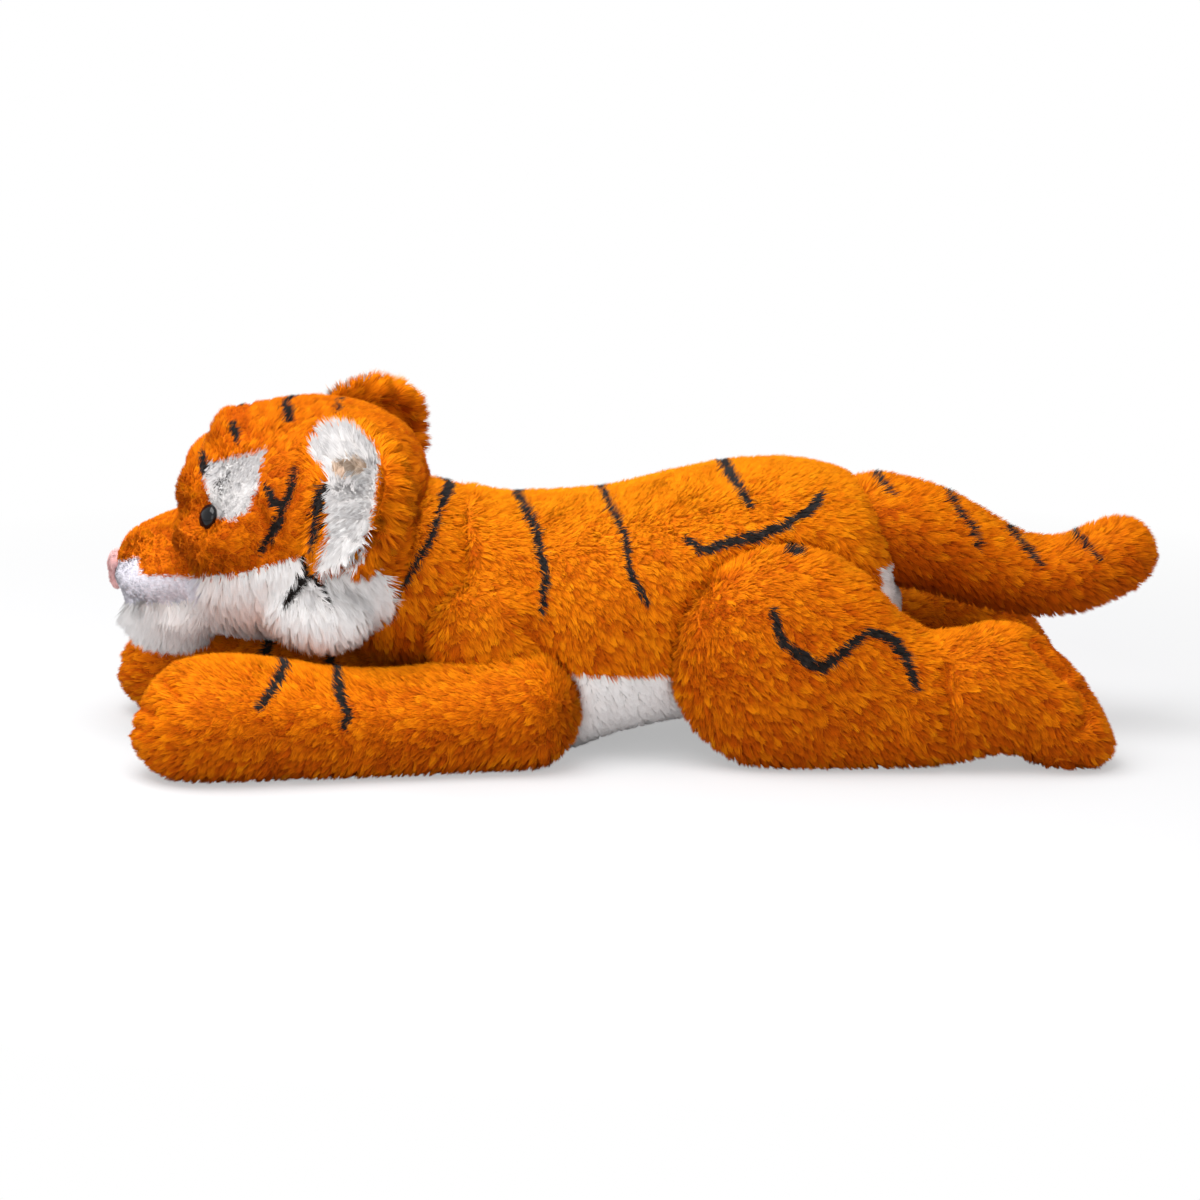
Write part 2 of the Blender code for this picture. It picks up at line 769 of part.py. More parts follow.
def ear_frame(side):
    """The middle of the ear's seam, and the directions along it, outwards and to the ear's front."""
    source = Vector((HEAD.place(EAR_ALONG_SHARE), 0, HEAD_BASE + HEAD_HEIGHT / 2))
    ends = []
    for bearing in (EAR_LOW_BEARING, EAR_HIGH_BEARING):
        out = Vector((0, side * math.cos(bearing), math.sin(bearing)))
        ends.append(surface_hit(HEAD, source, out)[0])
    along = (ends[1] - ends[0]).normalized()
    off_head = Vector((0, side * along.z, -side * along.y))
    outwards = Vector((math.cos(EAR_SPREAD), 0, 0)) + off_head * math.sin(EAR_SPREAD)
    front = along.cross(outwards) * side
    return (ends[0] + ends[1]) / 2, along, outwards, front


def ear_layer(side, start, low, high, spread=1.0):
    """One closed layer of the cupped ear, between two shares of its thickness."""
    middle, along, outwards, front = ear_frame(side)
    across_count, out_count = EAR_FACETS
    grids = []
    for level in (low, high):
        grid = []
        for j in range(out_count + 1):
            reach = start + (spread - start) * math.sin(math.pi / 2 * j / out_count)
            chord = math.sqrt(max(spread * spread - reach * reach, 0.0)) if reach else spread
            chord = max(chord, EAR_RIM / EAR_DEPTH * spread)
            row = []
            for i in range(across_count + 1):
                across = -math.cos(math.pi * i / across_count)
                edge = (across * chord) ** 2 + reach * reach
                thick = EAR_RIM + (EAR_THICKNESS - EAR_RIM) * math.sqrt(max(1 - edge, 0.0))
                cup = EAR_CUP * edge
                point = middle + along * across * chord * EAR_HALF_LENGTH + outwards * reach * EAR_DEPTH
                row.append(point + front * (cup * reach + level * thick))
            grid.append(row)
        grids.append(grid)
    bm = bmesh.new()
    sheets = [[[bm.verts.new(point) for point in row] for row in grid] for grid in grids]
    for sheet in sheets:
        for low_row, high_row in zip(sheet, sheet[1:]):
            for i in range(across_count):
                bm.faces.new((low_row[i], low_row[i + 1], high_row[i + 1], high_row[i]))
    rims = []
    for sheet in sheets:
        rim = list(sheet[0]) + [row[-1] for row in sheet[1:]]
        rim += list(reversed(sheet[-1][:-1])) + [row[0] for row in reversed(sheet[1:-1])]
        rims.append(rim)
    count = len(rims[0])
    for k in range(count):
        bm.faces.new((rims[0][k], rims[0][(k + 1) % count], rims[1][(k + 1) % count], rims[1][k]))
    return body(bm)


def make_ears():
    """Each ear's orange back, with the roll that it turns on, and its white lining."""
    for name, side in SIDES.items():
        middle, along, _, front = ear_frame(side)
        split = EAR_LINING_EASE / 2 / EAR_THICKNESS
        back = ear_layer(side, 0.0, EAR_BACK_SHARE, -split)
        half = along * EAR_HALF_LENGTH * EAR_ROLL_SHARE
        combine(back, rod(middle - half, middle + half, EAR_ROLL_RADIUS), "UNION")
        finish(back, f"ear_back_{name}", "orange_fur", middle)
        lining = ear_layer(side, EAR_LINING_START_SHARE, split, EAR_FRONT_SHARE, EAR_LINING_SHARE)
        finish(lining, f"ear_lining_{name}", "white_fur", middle)


def ear_tools():
    """A groove for each ear's roll, opened for the ear to fold forwards and back."""
    tools = []
    for side in SIDES.values():
        middle, along, outwards, front = ear_frame(side)
        half = along * (EAR_HALF_LENGTH + GAP)
        radius = (EAR_ROLL_RADIUS + GAP) / math.cos(math.pi / ROUND_SIDES)
        tools.append(rod(middle - half, middle + half, radius, 2 * ROUND_SIDES))
        near = EAR_THICKNESS / 2 + GAP
        far = near + EAR_GROOVE * math.tan(EAR_FOLD)
        corners = (
            -front * near,
            front * near,
            outwards * EAR_GROOVE + front * far,
            outwards * EAR_GROOVE - front * far,
        )
        tools.append(prism([middle - half + corner for corner in corners], 2 * half))
    return tools


def muzzle_split():
    return HEAD_BASE + MUZZLE_RAISED + MUZZLE_HEIGHT * BRIDGE_SEAM_SHARE


def make_muzzle():
    """The orange bridge, the white muzzle under it and the chin, cut to sit on the face."""
    split = muzzle_split()
    far = (-OVERRUN + FACE_FRONT, -OVERRUN)
    near = (OVERRUN + FACE_FRONT, OVERRUN)
    below = block((*far, -OVERRUN), (*near, split + GAP / 2))
    above = block((*far, split - GAP / 2), (*near, OVERRUN + split))
    bridge = MUZZLE.solid()
    cut(bridge, HEAD.solid(GAP), below)
    finish(bridge, "bridge", "orange_fur", NECK_CENTRE)
    muzzle = MUZZLE.solid()
    cut(muzzle, HEAD.solid(GAP), above)
    finish(muzzle, "muzzle", "muzzle_fur", NECK_CENTRE)
    chin = CHIN.solid()
    cut(chin, HEAD.solid(GAP), MUZZLE.solid(GAP))
    finish(chin, "chin", "white_fur", NECK_CENTRE)


def make_nose():
    """A triangular pad with a stem, seated on the muzzle's front."""
    front = MUZZLE.place(1) - NOSE_PROUD
    top = HEAD_BASE + MUZZLE_RAISED + MUZZLE_HEIGHT * NOSE_TOP_SHARE
    half = NOSE_WIDTH / 2
    stem = NOSE_STEM / 2
    edge = top - NOSE_HEIGHT * NOSE_EDGE_SHARE
    narrow = top - NOSE_HEIGHT * NOSE_STEM_SHARE
    low = top - NOSE_HEIGHT
    outline = (
        (-half, top),
        (half, top),
        (half, edge),
        (stem, narrow),
        (stem, low),
        (-stem, low),
        (-stem, narrow),
        (-half, edge),
    )
    nose = prism([Vector((front, y, z)) for y, z in outline], Vector((NOSE_BACK, 0, 0)))
    bevel = nose.modifiers.new("soft_edge", "BEVEL")
    bevel.width = NOSE_BEVEL
    bevel.segments = 2
    bevel.limit_method = "ANGLE"
    graph = bpy.context.evaluated_depsgraph_get()
    nose.data = bpy.data.meshes.new_from_object(nose.evaluated_get(graph))
    nose.modifiers.clear()
    cut(nose, MUZZLE.solid(GAP))
    finish(nose, "nose", "nose_fur", NECK_CENTRE)


def make_head():
    """The orange head skin, white cheeks and eye patches set into it, and the stuffing."""
    neck_seat = seat(NECK_CENTRE, NECK_RADIUS)
    holes, pockets = eye_tools()
    grooves = ear_tools()
    shell = HEAD.solid()
    cut(shell, HEAD.solid(-SKIN, HEAD_LINING_FACETS))
    seam = [head_point(shares) for shares in CHEEK_SHARES]
    below = [(seam[-1][0], -OVERRUN), (seam[0][0], -OVERRUN)]
    patch = [head_point(shares) for shares in PATCH_SHARES]
    pieces = []
    for name, side in SIDES.items():
        outer = side * OVERRUN
        cheek = copy(shell)
        keep_inside(cheek, outline_tool(shrunk(seam + below, GAP), side * GAP / 2, outer))
        pieces.append((cheek, f"cheek_{name}", "white_fur"))
        eye_patch = copy(shell)
        keep_inside(eye_patch, outline_tool(shrunk(patch, GAP), side * (PATCH_INNER + GAP), outer))
        pieces.append((eye_patch, f"eye_patch_{name}", "white_fur"))
    cut(shell, outline_tool(seam + below, -OVERRUN, OVERRUN))
    for side in SIDES.values():
        cut(shell, outline_tool(patch, side * PATCH_INNER, side * OVERRUN))
    pieces.append((shell, "head_skin", "orange_fur"))
    stuffing = HEAD.solid(-SKIN - STUFFING_EASE, HEAD_LINING_FACETS)
    cut(stuffing, *pockets)
    for piece, _, _ in pieces:
        cut(piece, *holes)
    pieces.append((stuffing, "head_stuffing", "stuffing"))
    for piece, name, slot in pieces:
        cut(piece, neck_seat, *grooves)
        finish(piece, name, slot, NECK_CENTRE)


def turn_head():
    """Turns the head, with its ears, eyes and nose, to the tiger's right about the neck."""
    turn = Matrix.Rotation(HEAD_TURN, 4, "Z")
    for piece in bpy.data.objects:
        if piece.name.startswith(TURNED_PIECES):
            piece.data.transform(turn)
            piece.location = NECK_CENTRE + turn @ (piece.location - NECK_CENTRE)


def remove_tools():
    for made in list(bpy.data.objects):
        if made.name.startswith("tool"):
            bpy.data.objects.remove(made, do_unlink=True)


def main():
    clear_scene()
    make_torso()
    make_neck()
    make_head()
    make_muzzle()
    make_nose()
    make_eyes()
    make_ears()
    make_forelegs()
    make_hindlegs()
    make_tail()
    remove_tools()
    turn_head()
    bpy.context.view_layer.update()


main()
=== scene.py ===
"""Looks of the plush tiger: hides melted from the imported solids, and pile grown on them.

Each body of the toy gets a hide, which is the outer surface of its solids and a few stuffed
lumps, melted together, smoothed and pressed in at its seams. Tufts of pile stand on the hide.
Places that were read from the photograph are pixels of its left side, and the right side
mirrors them.
"""

import math

import bmesh
import bpy
import numpy as np
from mathutils import Euler, Matrix, Vector
from mathutils.bvhtree import BVHTree
from mathutils.kdtree import KDTree


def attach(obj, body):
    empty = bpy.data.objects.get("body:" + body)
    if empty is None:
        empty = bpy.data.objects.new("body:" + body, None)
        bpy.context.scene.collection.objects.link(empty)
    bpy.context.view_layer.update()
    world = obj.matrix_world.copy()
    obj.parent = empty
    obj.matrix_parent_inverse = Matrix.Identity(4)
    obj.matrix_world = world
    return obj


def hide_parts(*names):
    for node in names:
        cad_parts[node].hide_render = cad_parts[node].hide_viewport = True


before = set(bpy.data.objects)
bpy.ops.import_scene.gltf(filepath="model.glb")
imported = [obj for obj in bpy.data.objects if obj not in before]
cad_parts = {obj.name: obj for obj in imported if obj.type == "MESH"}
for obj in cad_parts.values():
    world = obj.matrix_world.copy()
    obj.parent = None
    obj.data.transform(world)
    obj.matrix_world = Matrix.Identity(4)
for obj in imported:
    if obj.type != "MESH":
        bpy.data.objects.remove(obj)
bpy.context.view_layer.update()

# Camera: where the photograph was taken from, and its scale
VIEW_BEARING = math.radians(-7)
VIEW_RISE = math.radians(13)
VIEW_ROLL = math.radians(1.0)
VIEW_DISTANCE = 4.0
VIEW_TARGET = Vector((-0.0212, 0.0, 0.0875))
PIXEL = 0.000614
PHOTO_SIDE = 1200
SENSOR = 36.0
CAMERA_REACH = 30

# The head is turned to the toy's right about the upright axis of its neck
NECK = Vector((-0.132, 0.0, 0.106))
HEAD_TURN = math.radians(-8)
NOSE_TIP = (-0.322, 0.0, 0.106)

# Pile: strands a square metre, the width of a tuft, and the most strands in a pair of pieces
DENSITY = 1500000
DENSITY_SHARES = {"head": 1.3, "nose": 3.0}
TUFT = 0.0042
MOST_STRANDS = 120000
STRAND_WIDTH = 0.00078
WHITE_WIDTH_SHARE = 1.3
ROOT_DEPTH = 0.0006

# Least height over the floor of a strand's tip and of a hide
FLOOR_CLEAR = 0.0004
HIDE_CLEAR = 0.0008

# Length of the pile at each place, and how far it leans for each unit that it rises
LENGTHS = {
    "body": 0.0066,
    "belly": 0.0055,
    "tail": 0.0076,
    "nose": 0.0018,
    "ear": 0.0092,
    "ear lining": 0.0075,
    "head": 0.0058,
    "snout": 0.0034,
    "eye patch": 0.0048,
    "smooth": 0.0022,
    "ruff": 0.0088,
    "rear of ruff": 0.0110,
    "chin": 0.0125,
}
LEANS = {"body": 0.85, "ear": 0.7, "ruff": 0.75, "smooth": 1.2}

# How a strand differs from its neighbours: least and most shares, and how far it strays
LENGTH_SHARES = (0.8, 1.12)
WIDTH_SHARES = (0.75, 1.2)
GATHER_SHARES = (0.25, 0.75)
LOOSE_SHARE = 0.16

# How strongly tips gather on a side, how much less on top, and how far a tuft's tip reaches
SIDE_GATHER_SHARE = 0.95
TOP_GATHER_SHARE = 0.35
TUFT_REACH_SHARE = 1.02

# How the pile changes over a skin: wavelengths, and shares of its length, lean and comb
PATCH_WAVES = (0.035, 0.012)
PATCH_WAVE_SHARES = (0.5, 0.3)
PATCH_LENGTH_SHARE = 0.10
PATCH_LEAN_SHARE = 0.12
SEAM_LENGTH_SHARE = 0.5
TOP_LEAN_SHARE = 0.35
COMB_WAVE = 0.03
COMB_WANDER_SHARE = 0.18
WAVES = 14
WAVE_SPREAD_SHARES = (0.6, 1.4)

# Where a strand's colour is read: over the skin at first, then part of the way up the strand
COAT_HEIGHT = 0.004
COAT_SHARE = 0.65

# The way that the pile is combed on each part, and where an ear's is combed from, off its middle
EAR_COMB = (-0.020, 0.0, 0.010)
COMBS = {
    "foreleg": (-1.0, 0.0, -0.25),
    "hindleg": (0.75, 0.0, -0.45),
    "tail": (1.0, 0.0, -0.15),
    "nose": (0.3, 0.0, -1.0),
    "chin": (-0.35, 0.0, -1.0),
}
BODY_COMB = (0.6, 0.0, -0.8)

# How far the belly's white climbs over its panel, and the white rump: its front, half width and top
BELLY_RISE = 0.009
RUMP = (0.120, 0.052, 0.117)

# Borders of coats in pixels: how far they blur, how much wider pile makes a stripe, and its ends
BORDER_BLUR = 1.3
STRIPE_SPREAD = 1.2
STRIPE_END_SHARE = 0.6
HOLLOW_REACH = 8

# The head's comb: how much it rises, and in the ruff its direction and the change to its rear
HEAD_COMB_RISE = 0.6
RUFF_COMB = (0.2, 0.25, -0.9)
RUFF_COMB_REAR = 0.25

# Places on the head before its turn, where its pile changes
SNOUT_REAR = -0.248
SNOUT_SPAN = 0.05
MUZZLE_REAR = -0.262
RUFF_FRONT = -0.25
RUFF_SPAN = 0.07
RUFF_TOP = 0.135
PATCH_LOW = 0.14
PATCH_REAR = -0.2
PATCH_INNER = 0.012

# An ear is white where it looks this much like its lining, and orange where it looks inward
LINING_SHARE = -0.4
INWARD_SHARE = -0.1

# Eyes: the dome's depth and radii, how far it turns ahead, and the socket around it
EYE_DOME = 0.0052
EYE_RADII = (0.0078, 0.0078, 0.0040)
EYE_SEGMENTS = (40, 24)
EYE_AHEAD = 0.6
EYE_CLEAR = 0.0082
SOCKET_SLOPE = 0.9
SOCKET_DEPTH = 0.0014
SOCKET_REACH = 0.02

# Each hide's voxel, its rounds of smoothing, and its swell
HIDES = {
    "torso": (0.0035, 10, 0.0004),
    "nape": (0.003, 4, 0.0),
    "head": (0.0025, 10, 0.0004),
    "nose": (0.0008, 24, 0.0002),
    "ear": (0.0018, 8, 0.0),
    "foreleg": (0.003, 6, 0.0),
    "hindleg": (0.003, 6, 0.0),
    "tail": (0.003, 5, 0.0),
}
LUMP_SEGMENTS = (32, 16)

# How softly creases end where a skin turns away, the width of their shorter pile with painted shade,
# and a small step
PRESS_EDGE = 3
SEAM_SHARE = 0.7
SMALL_STEP = 0.001

# Each material's colour, roughness and specular level, before its nodes are added
SURFACES = {
    "pile": ((0.8, 0.3, 0.02), 0.7, 0.04),
    "hide": ((0.3, 0.07, 0.003), 0.9, 0.1),
    "eye": ((0.004, 0.004, 0.005), 0.08, 0.25),
    "washer": ((0.75, 0.75, 0.72), 0.45, 0.5),
    "floor": ((0.57, 0.57, 0.58), 0.9, 0.0),
}

# The cloth under the pile: the scale and detail of its knit, and how much it shows
KNIT_SCALE = 700.0
KNIT_DETAIL = 2.0
KNIT_SHARE = 0.35
KNIT_BUMP = 0.5
KNIT_DEPTH = 0.0006

# Light: the even light of the studio, and each lamp's place, target, size and watts
SURROUND_LIGHT = 0.72
LAMPS = {
    "key": ((-0.55, -0.45, 1.6), (0, 0, 0.05), (1.6, 1.2), 43.0),
    "front": ((-0.6, -1.8, 0.7), (0, 0, 0.1), (1.4, 1.0), 9.0),
}

# Floor: its half width, and its glow, which grows to white over a distance
FLOOR_REACH = 6.0
FLOOR_GLOW = 0.42
FLOOR_FADE = (0.40, 0.75)


def photo_axes():
    """The camera's place, and its right, up and forward directions."""
    rise, bearing = VIEW_RISE, VIEW_BEARING
    back = Vector((
        math.sin(bearing) * math.cos(rise),
        -math.cos(bearing) * math.cos(rise),
        math.sin(rise),
    ))
    forward = -back
    level = forward.cross(Vector((0, 0, 1))).normalized()
    right = level * math.cos(VIEW_ROLL) + level.cross(forward) * math.sin(VIEW_ROLL)
    up = right.cross(forward)
    return VIEW_TARGET + back * VIEW_DISTANCE, right, up, forward


def turned_head(points, share=1.0):
    """Points or directions turned with the head, or back with a share of -1, about its neck."""
    cos, sin = math.cos(HEAD_TURN * share), math.sin(HEAD_TURN * share)
    away = np.asarray(points, float) - np.array(NECK)
    return np.array(NECK) + away @ np.array(((cos, sin, 0), (-sin, cos, 0), (0, 0, 1)))


def left_side(points, part):
    """Points of a part's right side mirrored onto its left."""
    on_head = part in ("head", "ear", "nose")
    points = turned_head(points, -1) if on_head else points.copy()
    points[:, 1] = -np.abs(points[:, 1])
    return turned_head(points) if on_head else points


def photo_pixels(points, part):
    """The photograph's pixels of points, with the right side mirrored onto the left."""
    place, right, up, forward = (np.array(v) for v in photo_axes())
    away = left_side(points, part) - place
    focal = VIEW_DISTANCE / PIXEL
    depth = away @ forward
    middle = PHOTO_SIDE / 2
    return np.stack([middle + focal * (away @ right) / depth, middle - focal * (away @ up) / depth], 1)


def inside(pixels, outline):
    """Which pixels lie inside an outline."""
    found = np.zeros(len(pixels), bool)
    x, y = pixels[:, 0], pixels[:, 1]
    for (x0, y0), (x1, y1) in zip(outline, outline[1:] + outline[:1]):
        if y0 == y1:
            continue
        crossing = ((y0 > y) != (y1 > y)) & (x < (x1 - x0) * (y - y0) / (y1 - y0) + x0)
        found ^= crossing
    return found


def distance_to(points, line):
    """Distance of each point from a line of two or more corners, in two or three dimensions."""
    nearest = np.full(len(points), np.inf)
    for start, end in zip(line, line[1:]):
        a, b = np.array(start, float), np.array(end, float)
        along = np.clip(((points - a) @ (b - a)) / max((b - a) @ (b - a), 1e-12), 0, 1)
        nearest = np.minimum(nearest, np.linalg.norm(points - a - along[:, None] * (b - a), axis=1))
    return nearest


def on_stripe(points, line, half):
    """Which points lie on a stripe that narrows towards its ends."""
    lengths = [math.dist(start, end) for start, end in zip(line, line[1:])]
    found, passed = np.zeros(len(points), bool), 0.0
    for start, end, length in zip(line, line[1:], lengths):
        a, b = np.array(start, float), np.array(end, float)
        along = np.clip((points - a) @ (b - a) / length**2, 0, 1)
        away = np.linalg.norm(points - a - along[:, None] * (b - a), axis=1)
        share = (passed + along * length) / sum(lengths)
        width_share = STRIPE_END_SHARE + (1 - STRIPE_END_SHARE) * np.sin(math.pi * share)
        found |= away < half * width_share + STRIPE_SPREAD
        passed += length
    return found


def ripple(points, wavelength, seed):
    """A smooth random field between about -1 and 1."""
    random = np.random.default_rng(seed)
    waves = random.normal(size=(WAVES, 3))
    waves *= (2 * math.pi / wavelength) / np.linalg.norm(waves, axis=1)[:, None]
    waves *= random.uniform(*WAVE_SPREAD_SHARES, (WAVES, 1))
    starts = random.uniform(0, 2 * math.pi, WAVES)
    return np.sin(points @ waves.T + starts).sum(1) / math.sqrt(WAVES)


def unit(vectors):
    return vectors / np.maximum(np.linalg.norm(vectors, axis=1), 1e-9)[:, None]


def along_skin(ways, normals):
    """Directions laid flat on a skin."""
    return unit(ways - (ways * normals).sum(1)[:, None] * normals)


# Places read from the photograph, as pixels of the toy's left side
WHITE_FACE = [
    (90, 556), (123, 561), (138, 556), (140, 570), (148, 576), (186, 578), (215, 578), (242, 575),
    (269, 566), (291, 559), (302, 554), (319, 550), (345, 549), (366, 560), (388, 582), (396, 606),
    (394, 636), (372, 670), (90, 700),
]
SMOOTH_FACE = [
    (90, 556), (123, 561), (138, 556), (140, 570), (148, 576), (188, 576), (194, 590), (197, 603),
    (150, 609), (120, 606), (90, 600),
]
EAR_WHITE = [
    (306, 436), (317, 424), (334, 419), (348, 421), (362, 430), (373, 443), (378, 458), (377, 480),
    (374, 505), (369, 530), (366, 550), (361, 566), (348, 580), (316, 580), (318, 560), (326, 538),
    (321, 491), (322, 466), (310, 452),
]
# The ear's hollow, whose pile is tan: painted shade of the hollow
EAR_HOLLOW = [(339, 466), (355, 465)]
EYE_PATCH = [
    (203, 476), (206, 461), (215, 461), (235, 455), (266, 449), (259, 469), (257, 490), (247, 512),
    (233, 520), (217, 517), (208, 498),
]

# Black stripes on each part: the line of each and half its width
STRIPES = {
    "torso": [
        ([(449, 484), (444, 502)], 4.5),
        ([(444, 501), (433, 535), (418, 564), (401, 588), (389, 607)], 1.9),
        (
            [
                (508, 470), (515, 490), (527, 510), (538, 530), (539, 549), (547, 573), (543, 595),
                (543, 612),
            ],
            3.6,
        ),
        ([(600, 480), (607, 501), (614, 513), (625, 535), (628, 554), (631, 576), (651, 605)], 2.8),
        ([(706, 440), (721, 460), (731, 476), (743, 493), (751, 505)], 4.2),
        ([(688, 539), (701, 551), (726, 543), (759, 536), (793, 520), (813, 508), (822, 493)], 4.6),
        ([(790, 547), (802, 550)], 4.0),
    ],
    "nape": [
        ([(449, 476), (444, 502)], 4.5),
        ([(444, 501), (433, 535), (418, 564), (401, 588), (389, 607)], 2.4),
    ],
    "head": [
        ([(285, 403), (288, 417)], 4.6),
        ([(233, 423), (236, 437)], 4.2),
        ([(202, 455), (204, 473)], 3.4),
        ([(337, 404), (339, 407)], 2.4),
        ([(295, 467), (291, 489), (281, 512), (280, 521), (269, 539), (262, 552)], 3.1),
        ([(266, 487), (275, 503), (280, 510)], 3.4),
        ([(320, 483), (315, 512), (313, 536), (310, 550), (306, 561), (310, 570)], 3.4),
        ([(310, 569), (300, 585), (284, 605)], 2.7),
        ([(310, 569), (322, 590), (330, 605)], 3.2),
        ([(214, 485), (229, 474)], 0.1),
        ([(219, 487), (220, 491)], 0.9),
    ],
    "foreleg": [
        ([(284, 640), (285, 663), (276, 683), (259, 708)], 4.2),
        ([(343, 652), (338, 674), (340, 694), (348, 712), (343, 728)], 3.8),
    ],
    "hindleg": [
        ([(774, 612), (784, 642), (803, 659), (822, 669), (846, 652), (869, 632)], 5.0),
        ([(869, 632), (892, 637), (907, 659), (917, 687)], 4.4),
        ([(788, 547), (803, 550)], 3.2),
        ([(688, 539), (701, 551), (726, 543), (759, 536), (793, 520), (813, 508), (822, 493)], 4.6),
    ],
    "ear": [
        ([(320, 483), (315, 512), (313, 536), (310, 552)], 3.4),
    ],
    "tail": [
        ([(868, 462), (876, 474), (894, 492)], 2.0),
        ([(945, 485), (957, 505), (973, 525), (981, 547)], 2.3),
        ([(1008, 525), (1020, 539), (1034, 553), (1043, 567)], 2.4),
        ([(1068, 522), (1080, 537), (1091, 549), (1101, 561)], 2.2),
    ],
}

# Creases in each part: the line of each, half its width, and its depth in metres
CREASES = {
    "torso": [
        ([(526, 624), (544, 653), (568, 684)], 9, 0.0045),
        ([(389, 612), (402, 588), (420, 562), (434, 534), (446, 500), (450, 478)], 6, 0.0030),
    ],
    "head": [
        ([(185, 540), (187, 578)], 6, 0.0030),
        ([(196, 508), (212, 516)], 14, 0.0040),
        ([(252, 498), (262, 530), (268, 548)], 6, 0.0025),
        ([(295, 467), (281, 512), (262, 552)], 6, 0.0022),
        ([(320, 483), (313, 536), (308, 560)], 6, 0.0025),
        ([(228, 422), (240, 418), (246, 440)], 6, 0.0025),
        ([(108, 535), (127, 519), (150, 508)], 14, 0.0085),
    ],
    "foreleg": [
        ([(170, 684), (184, 697)], 6, 0.0045),
        ([(140, 704), (162, 714)], 6, 0.0028),
        ([(134, 722), (150, 730)], 5, 0.0025),
        ([(276, 752), (284, 764)], 9, 0.0030),
    ],
    "hindleg": [
        ([(944, 668), (948, 705), (944, 745)], 8, 0.0045),
        (
            [(1027, 641), (1041, 659), (1057, 675), (1078, 689), (1085, 705), (1086, 718), (1078, 728)],
            7,
            0.0075,
        ),
        ([(1043, 641), (1056, 659), (1068, 673)], 6, 0.0055),
        ([(1036, 760), (1060, 755), (1078, 756)], 7, 0.0035),
    ],
    "tail": [],
    "ear": [
        ([(343, 471), (352, 479), (357, 482)], 7, 0.0055),
    ],
}

# Places along the rolled rim of an ear, before the head's turn, and the roll's radius
EAR_RIM = [
    (-0.165, 0.074, 0.202), (-0.153, 0.087, 0.198), (-0.147, 0.097, 0.190), (-0.145, 0.103, 0.180),
    (-0.145, 0.103, 0.167), (-0.149, 0.100, 0.154), (-0.156, 0.094, 0.142), (-0.164, 0.089, 0.133),
]
EAR_ROLL = 0.0074

# Lumps of stuffing that the plain solids leave out: place, radii, and bearing about Y in degrees
LUMPS = {
    "ear": [(place, (EAR_ROLL, EAR_ROLL, EAR_ROLL), 0) for place in EAR_RIM],
    "torso": [
        ((-0.092, 0.056, 0.078), (0.040, 0.020, 0.036), 20),
    ],
    "head": [
        ((-0.258, 0.033, 0.160), (0.019, 0.022, 0.022), 0),
        ((-0.240, 0.018, 0.186), (0.020, 0.022, 0.018), 0),
        ((-0.246, 0.050, 0.137), (0.032, 0.024, 0.022), 0),
        ((-0.283, 0.012, 0.122), (0.033, 0.020, 0.015), -14),
        ((-0.292, 0.026, 0.106), (0.024, 0.016, 0.016), 0),
        ((-0.190, 0.062, 0.100), (0.031, 0.019, 0.024), 0),
        ((-0.283, 0.006, 0.080), (0.026, 0.020, 0.017), 0),
    ],
}

# Palette of the pile: each colour has a band of tints, from its dark to its light strands
BANDS = {
    "orange": (0.02, 0.42),
    "black": (0.46, 0.52),
    "white": (0.56, 0.72),
    "smooth": (0.76, 0.82),
    "pink": (0.86, 0.90),
    "tan": (0.94, 0.98),
}
TIP_COLOURS = (
    (0.02, (0.72, 0.125, 0.001)),
    (0.22, (0.92, 0.245, 0.002)),
    (0.42, (1.00, 0.335, 0.004)),
    (0.46, (0.018, 0.016, 0.015)),
    (0.52, (0.050, 0.042, 0.040)),
    (0.56, (0.42, 0.41, 0.415)),
    (0.72, (0.95, 0.93, 0.92)),
    (0.76, (0.68, 0.66, 0.73)),
    (0.82, (0.76, 0.74, 0.80)),
    (0.86, (0.82, 0.47, 0.46)),
    (0.90, (0.90, 0.60, 0.58)),
    (0.94, (0.62, 0.47, 0.36)),
    (0.98, (0.74, 0.60, 0.48)),
)
# Colours at the roots, darker than the tips: painted shade deep in the pile
ROOT_COLOURS = (
    (0.02, (0.26, 0.028, 0.001)),
    (0.22, (0.58, 0.11, 0.001)),
    (0.42, (0.82, 0.21, 0.002)),
    (0.46, (0.010, 0.009, 0.009)),
    (0.52, (0.024, 0.020, 0.019)),
    (0.56, (0.42, 0.39, 0.38)),
    (0.72, (0.86, 0.82, 0.80)),
    (0.76, (0.60, 0.57, 0.64)),
    (0.82, (0.70, 0.67, 0.73)),
    (0.86, (0.52, 0.22, 0.21)),
    (0.90, (0.64, 0.34, 0.33)),
    (0.94, (0.34, 0.22, 0.15)),
    (0.98, (0.44, 0.31, 0.22)),
)

# Lightness of an orange strand in its band: its part's, partly own tone and partly painted shade, and
# how much darker on the sides, painted shade
SHADES = {
    "torso": (0.56, 0.18),
    "nape": (0.50, 0.12),
    "head": (0.18, 0.02),
    "foreleg": (0.41, 0.12),
    "hindleg": (0.38, 0.14),
    "tail": (0.36, 0.26),
    "ear": (0.5, 0.05),
    "nose": (0.5, 0.05),
}

# Painted light: how much lighter an orange strand is on top, where the lamps above light it
PAINTED_TOP_LIGHT = 0.12

# Lightness of a pale strand: on a side, and how much darker on top, painted shade against the strong
# light there
PALE_SHADE = 0.85
PAINTED_PALE_TOP_SHADE = 1.6

# How much lightness changes from patch to patch, by painted shade in a crease, from tuft to tuft and
# by chance, and how far it may go in a band
PATCH_SHADE = 0.05
PAINTED_CREASE_SHADE = 0.6
PALE_TUFT_SHADE = 0.12
SIDE_TUFT_SHADE = 0.22
TOP_TUFT_SHADE = 0.10
STRAND_SHADE = 0.10
SHADE_LIMITS = (0.01, 0.99)

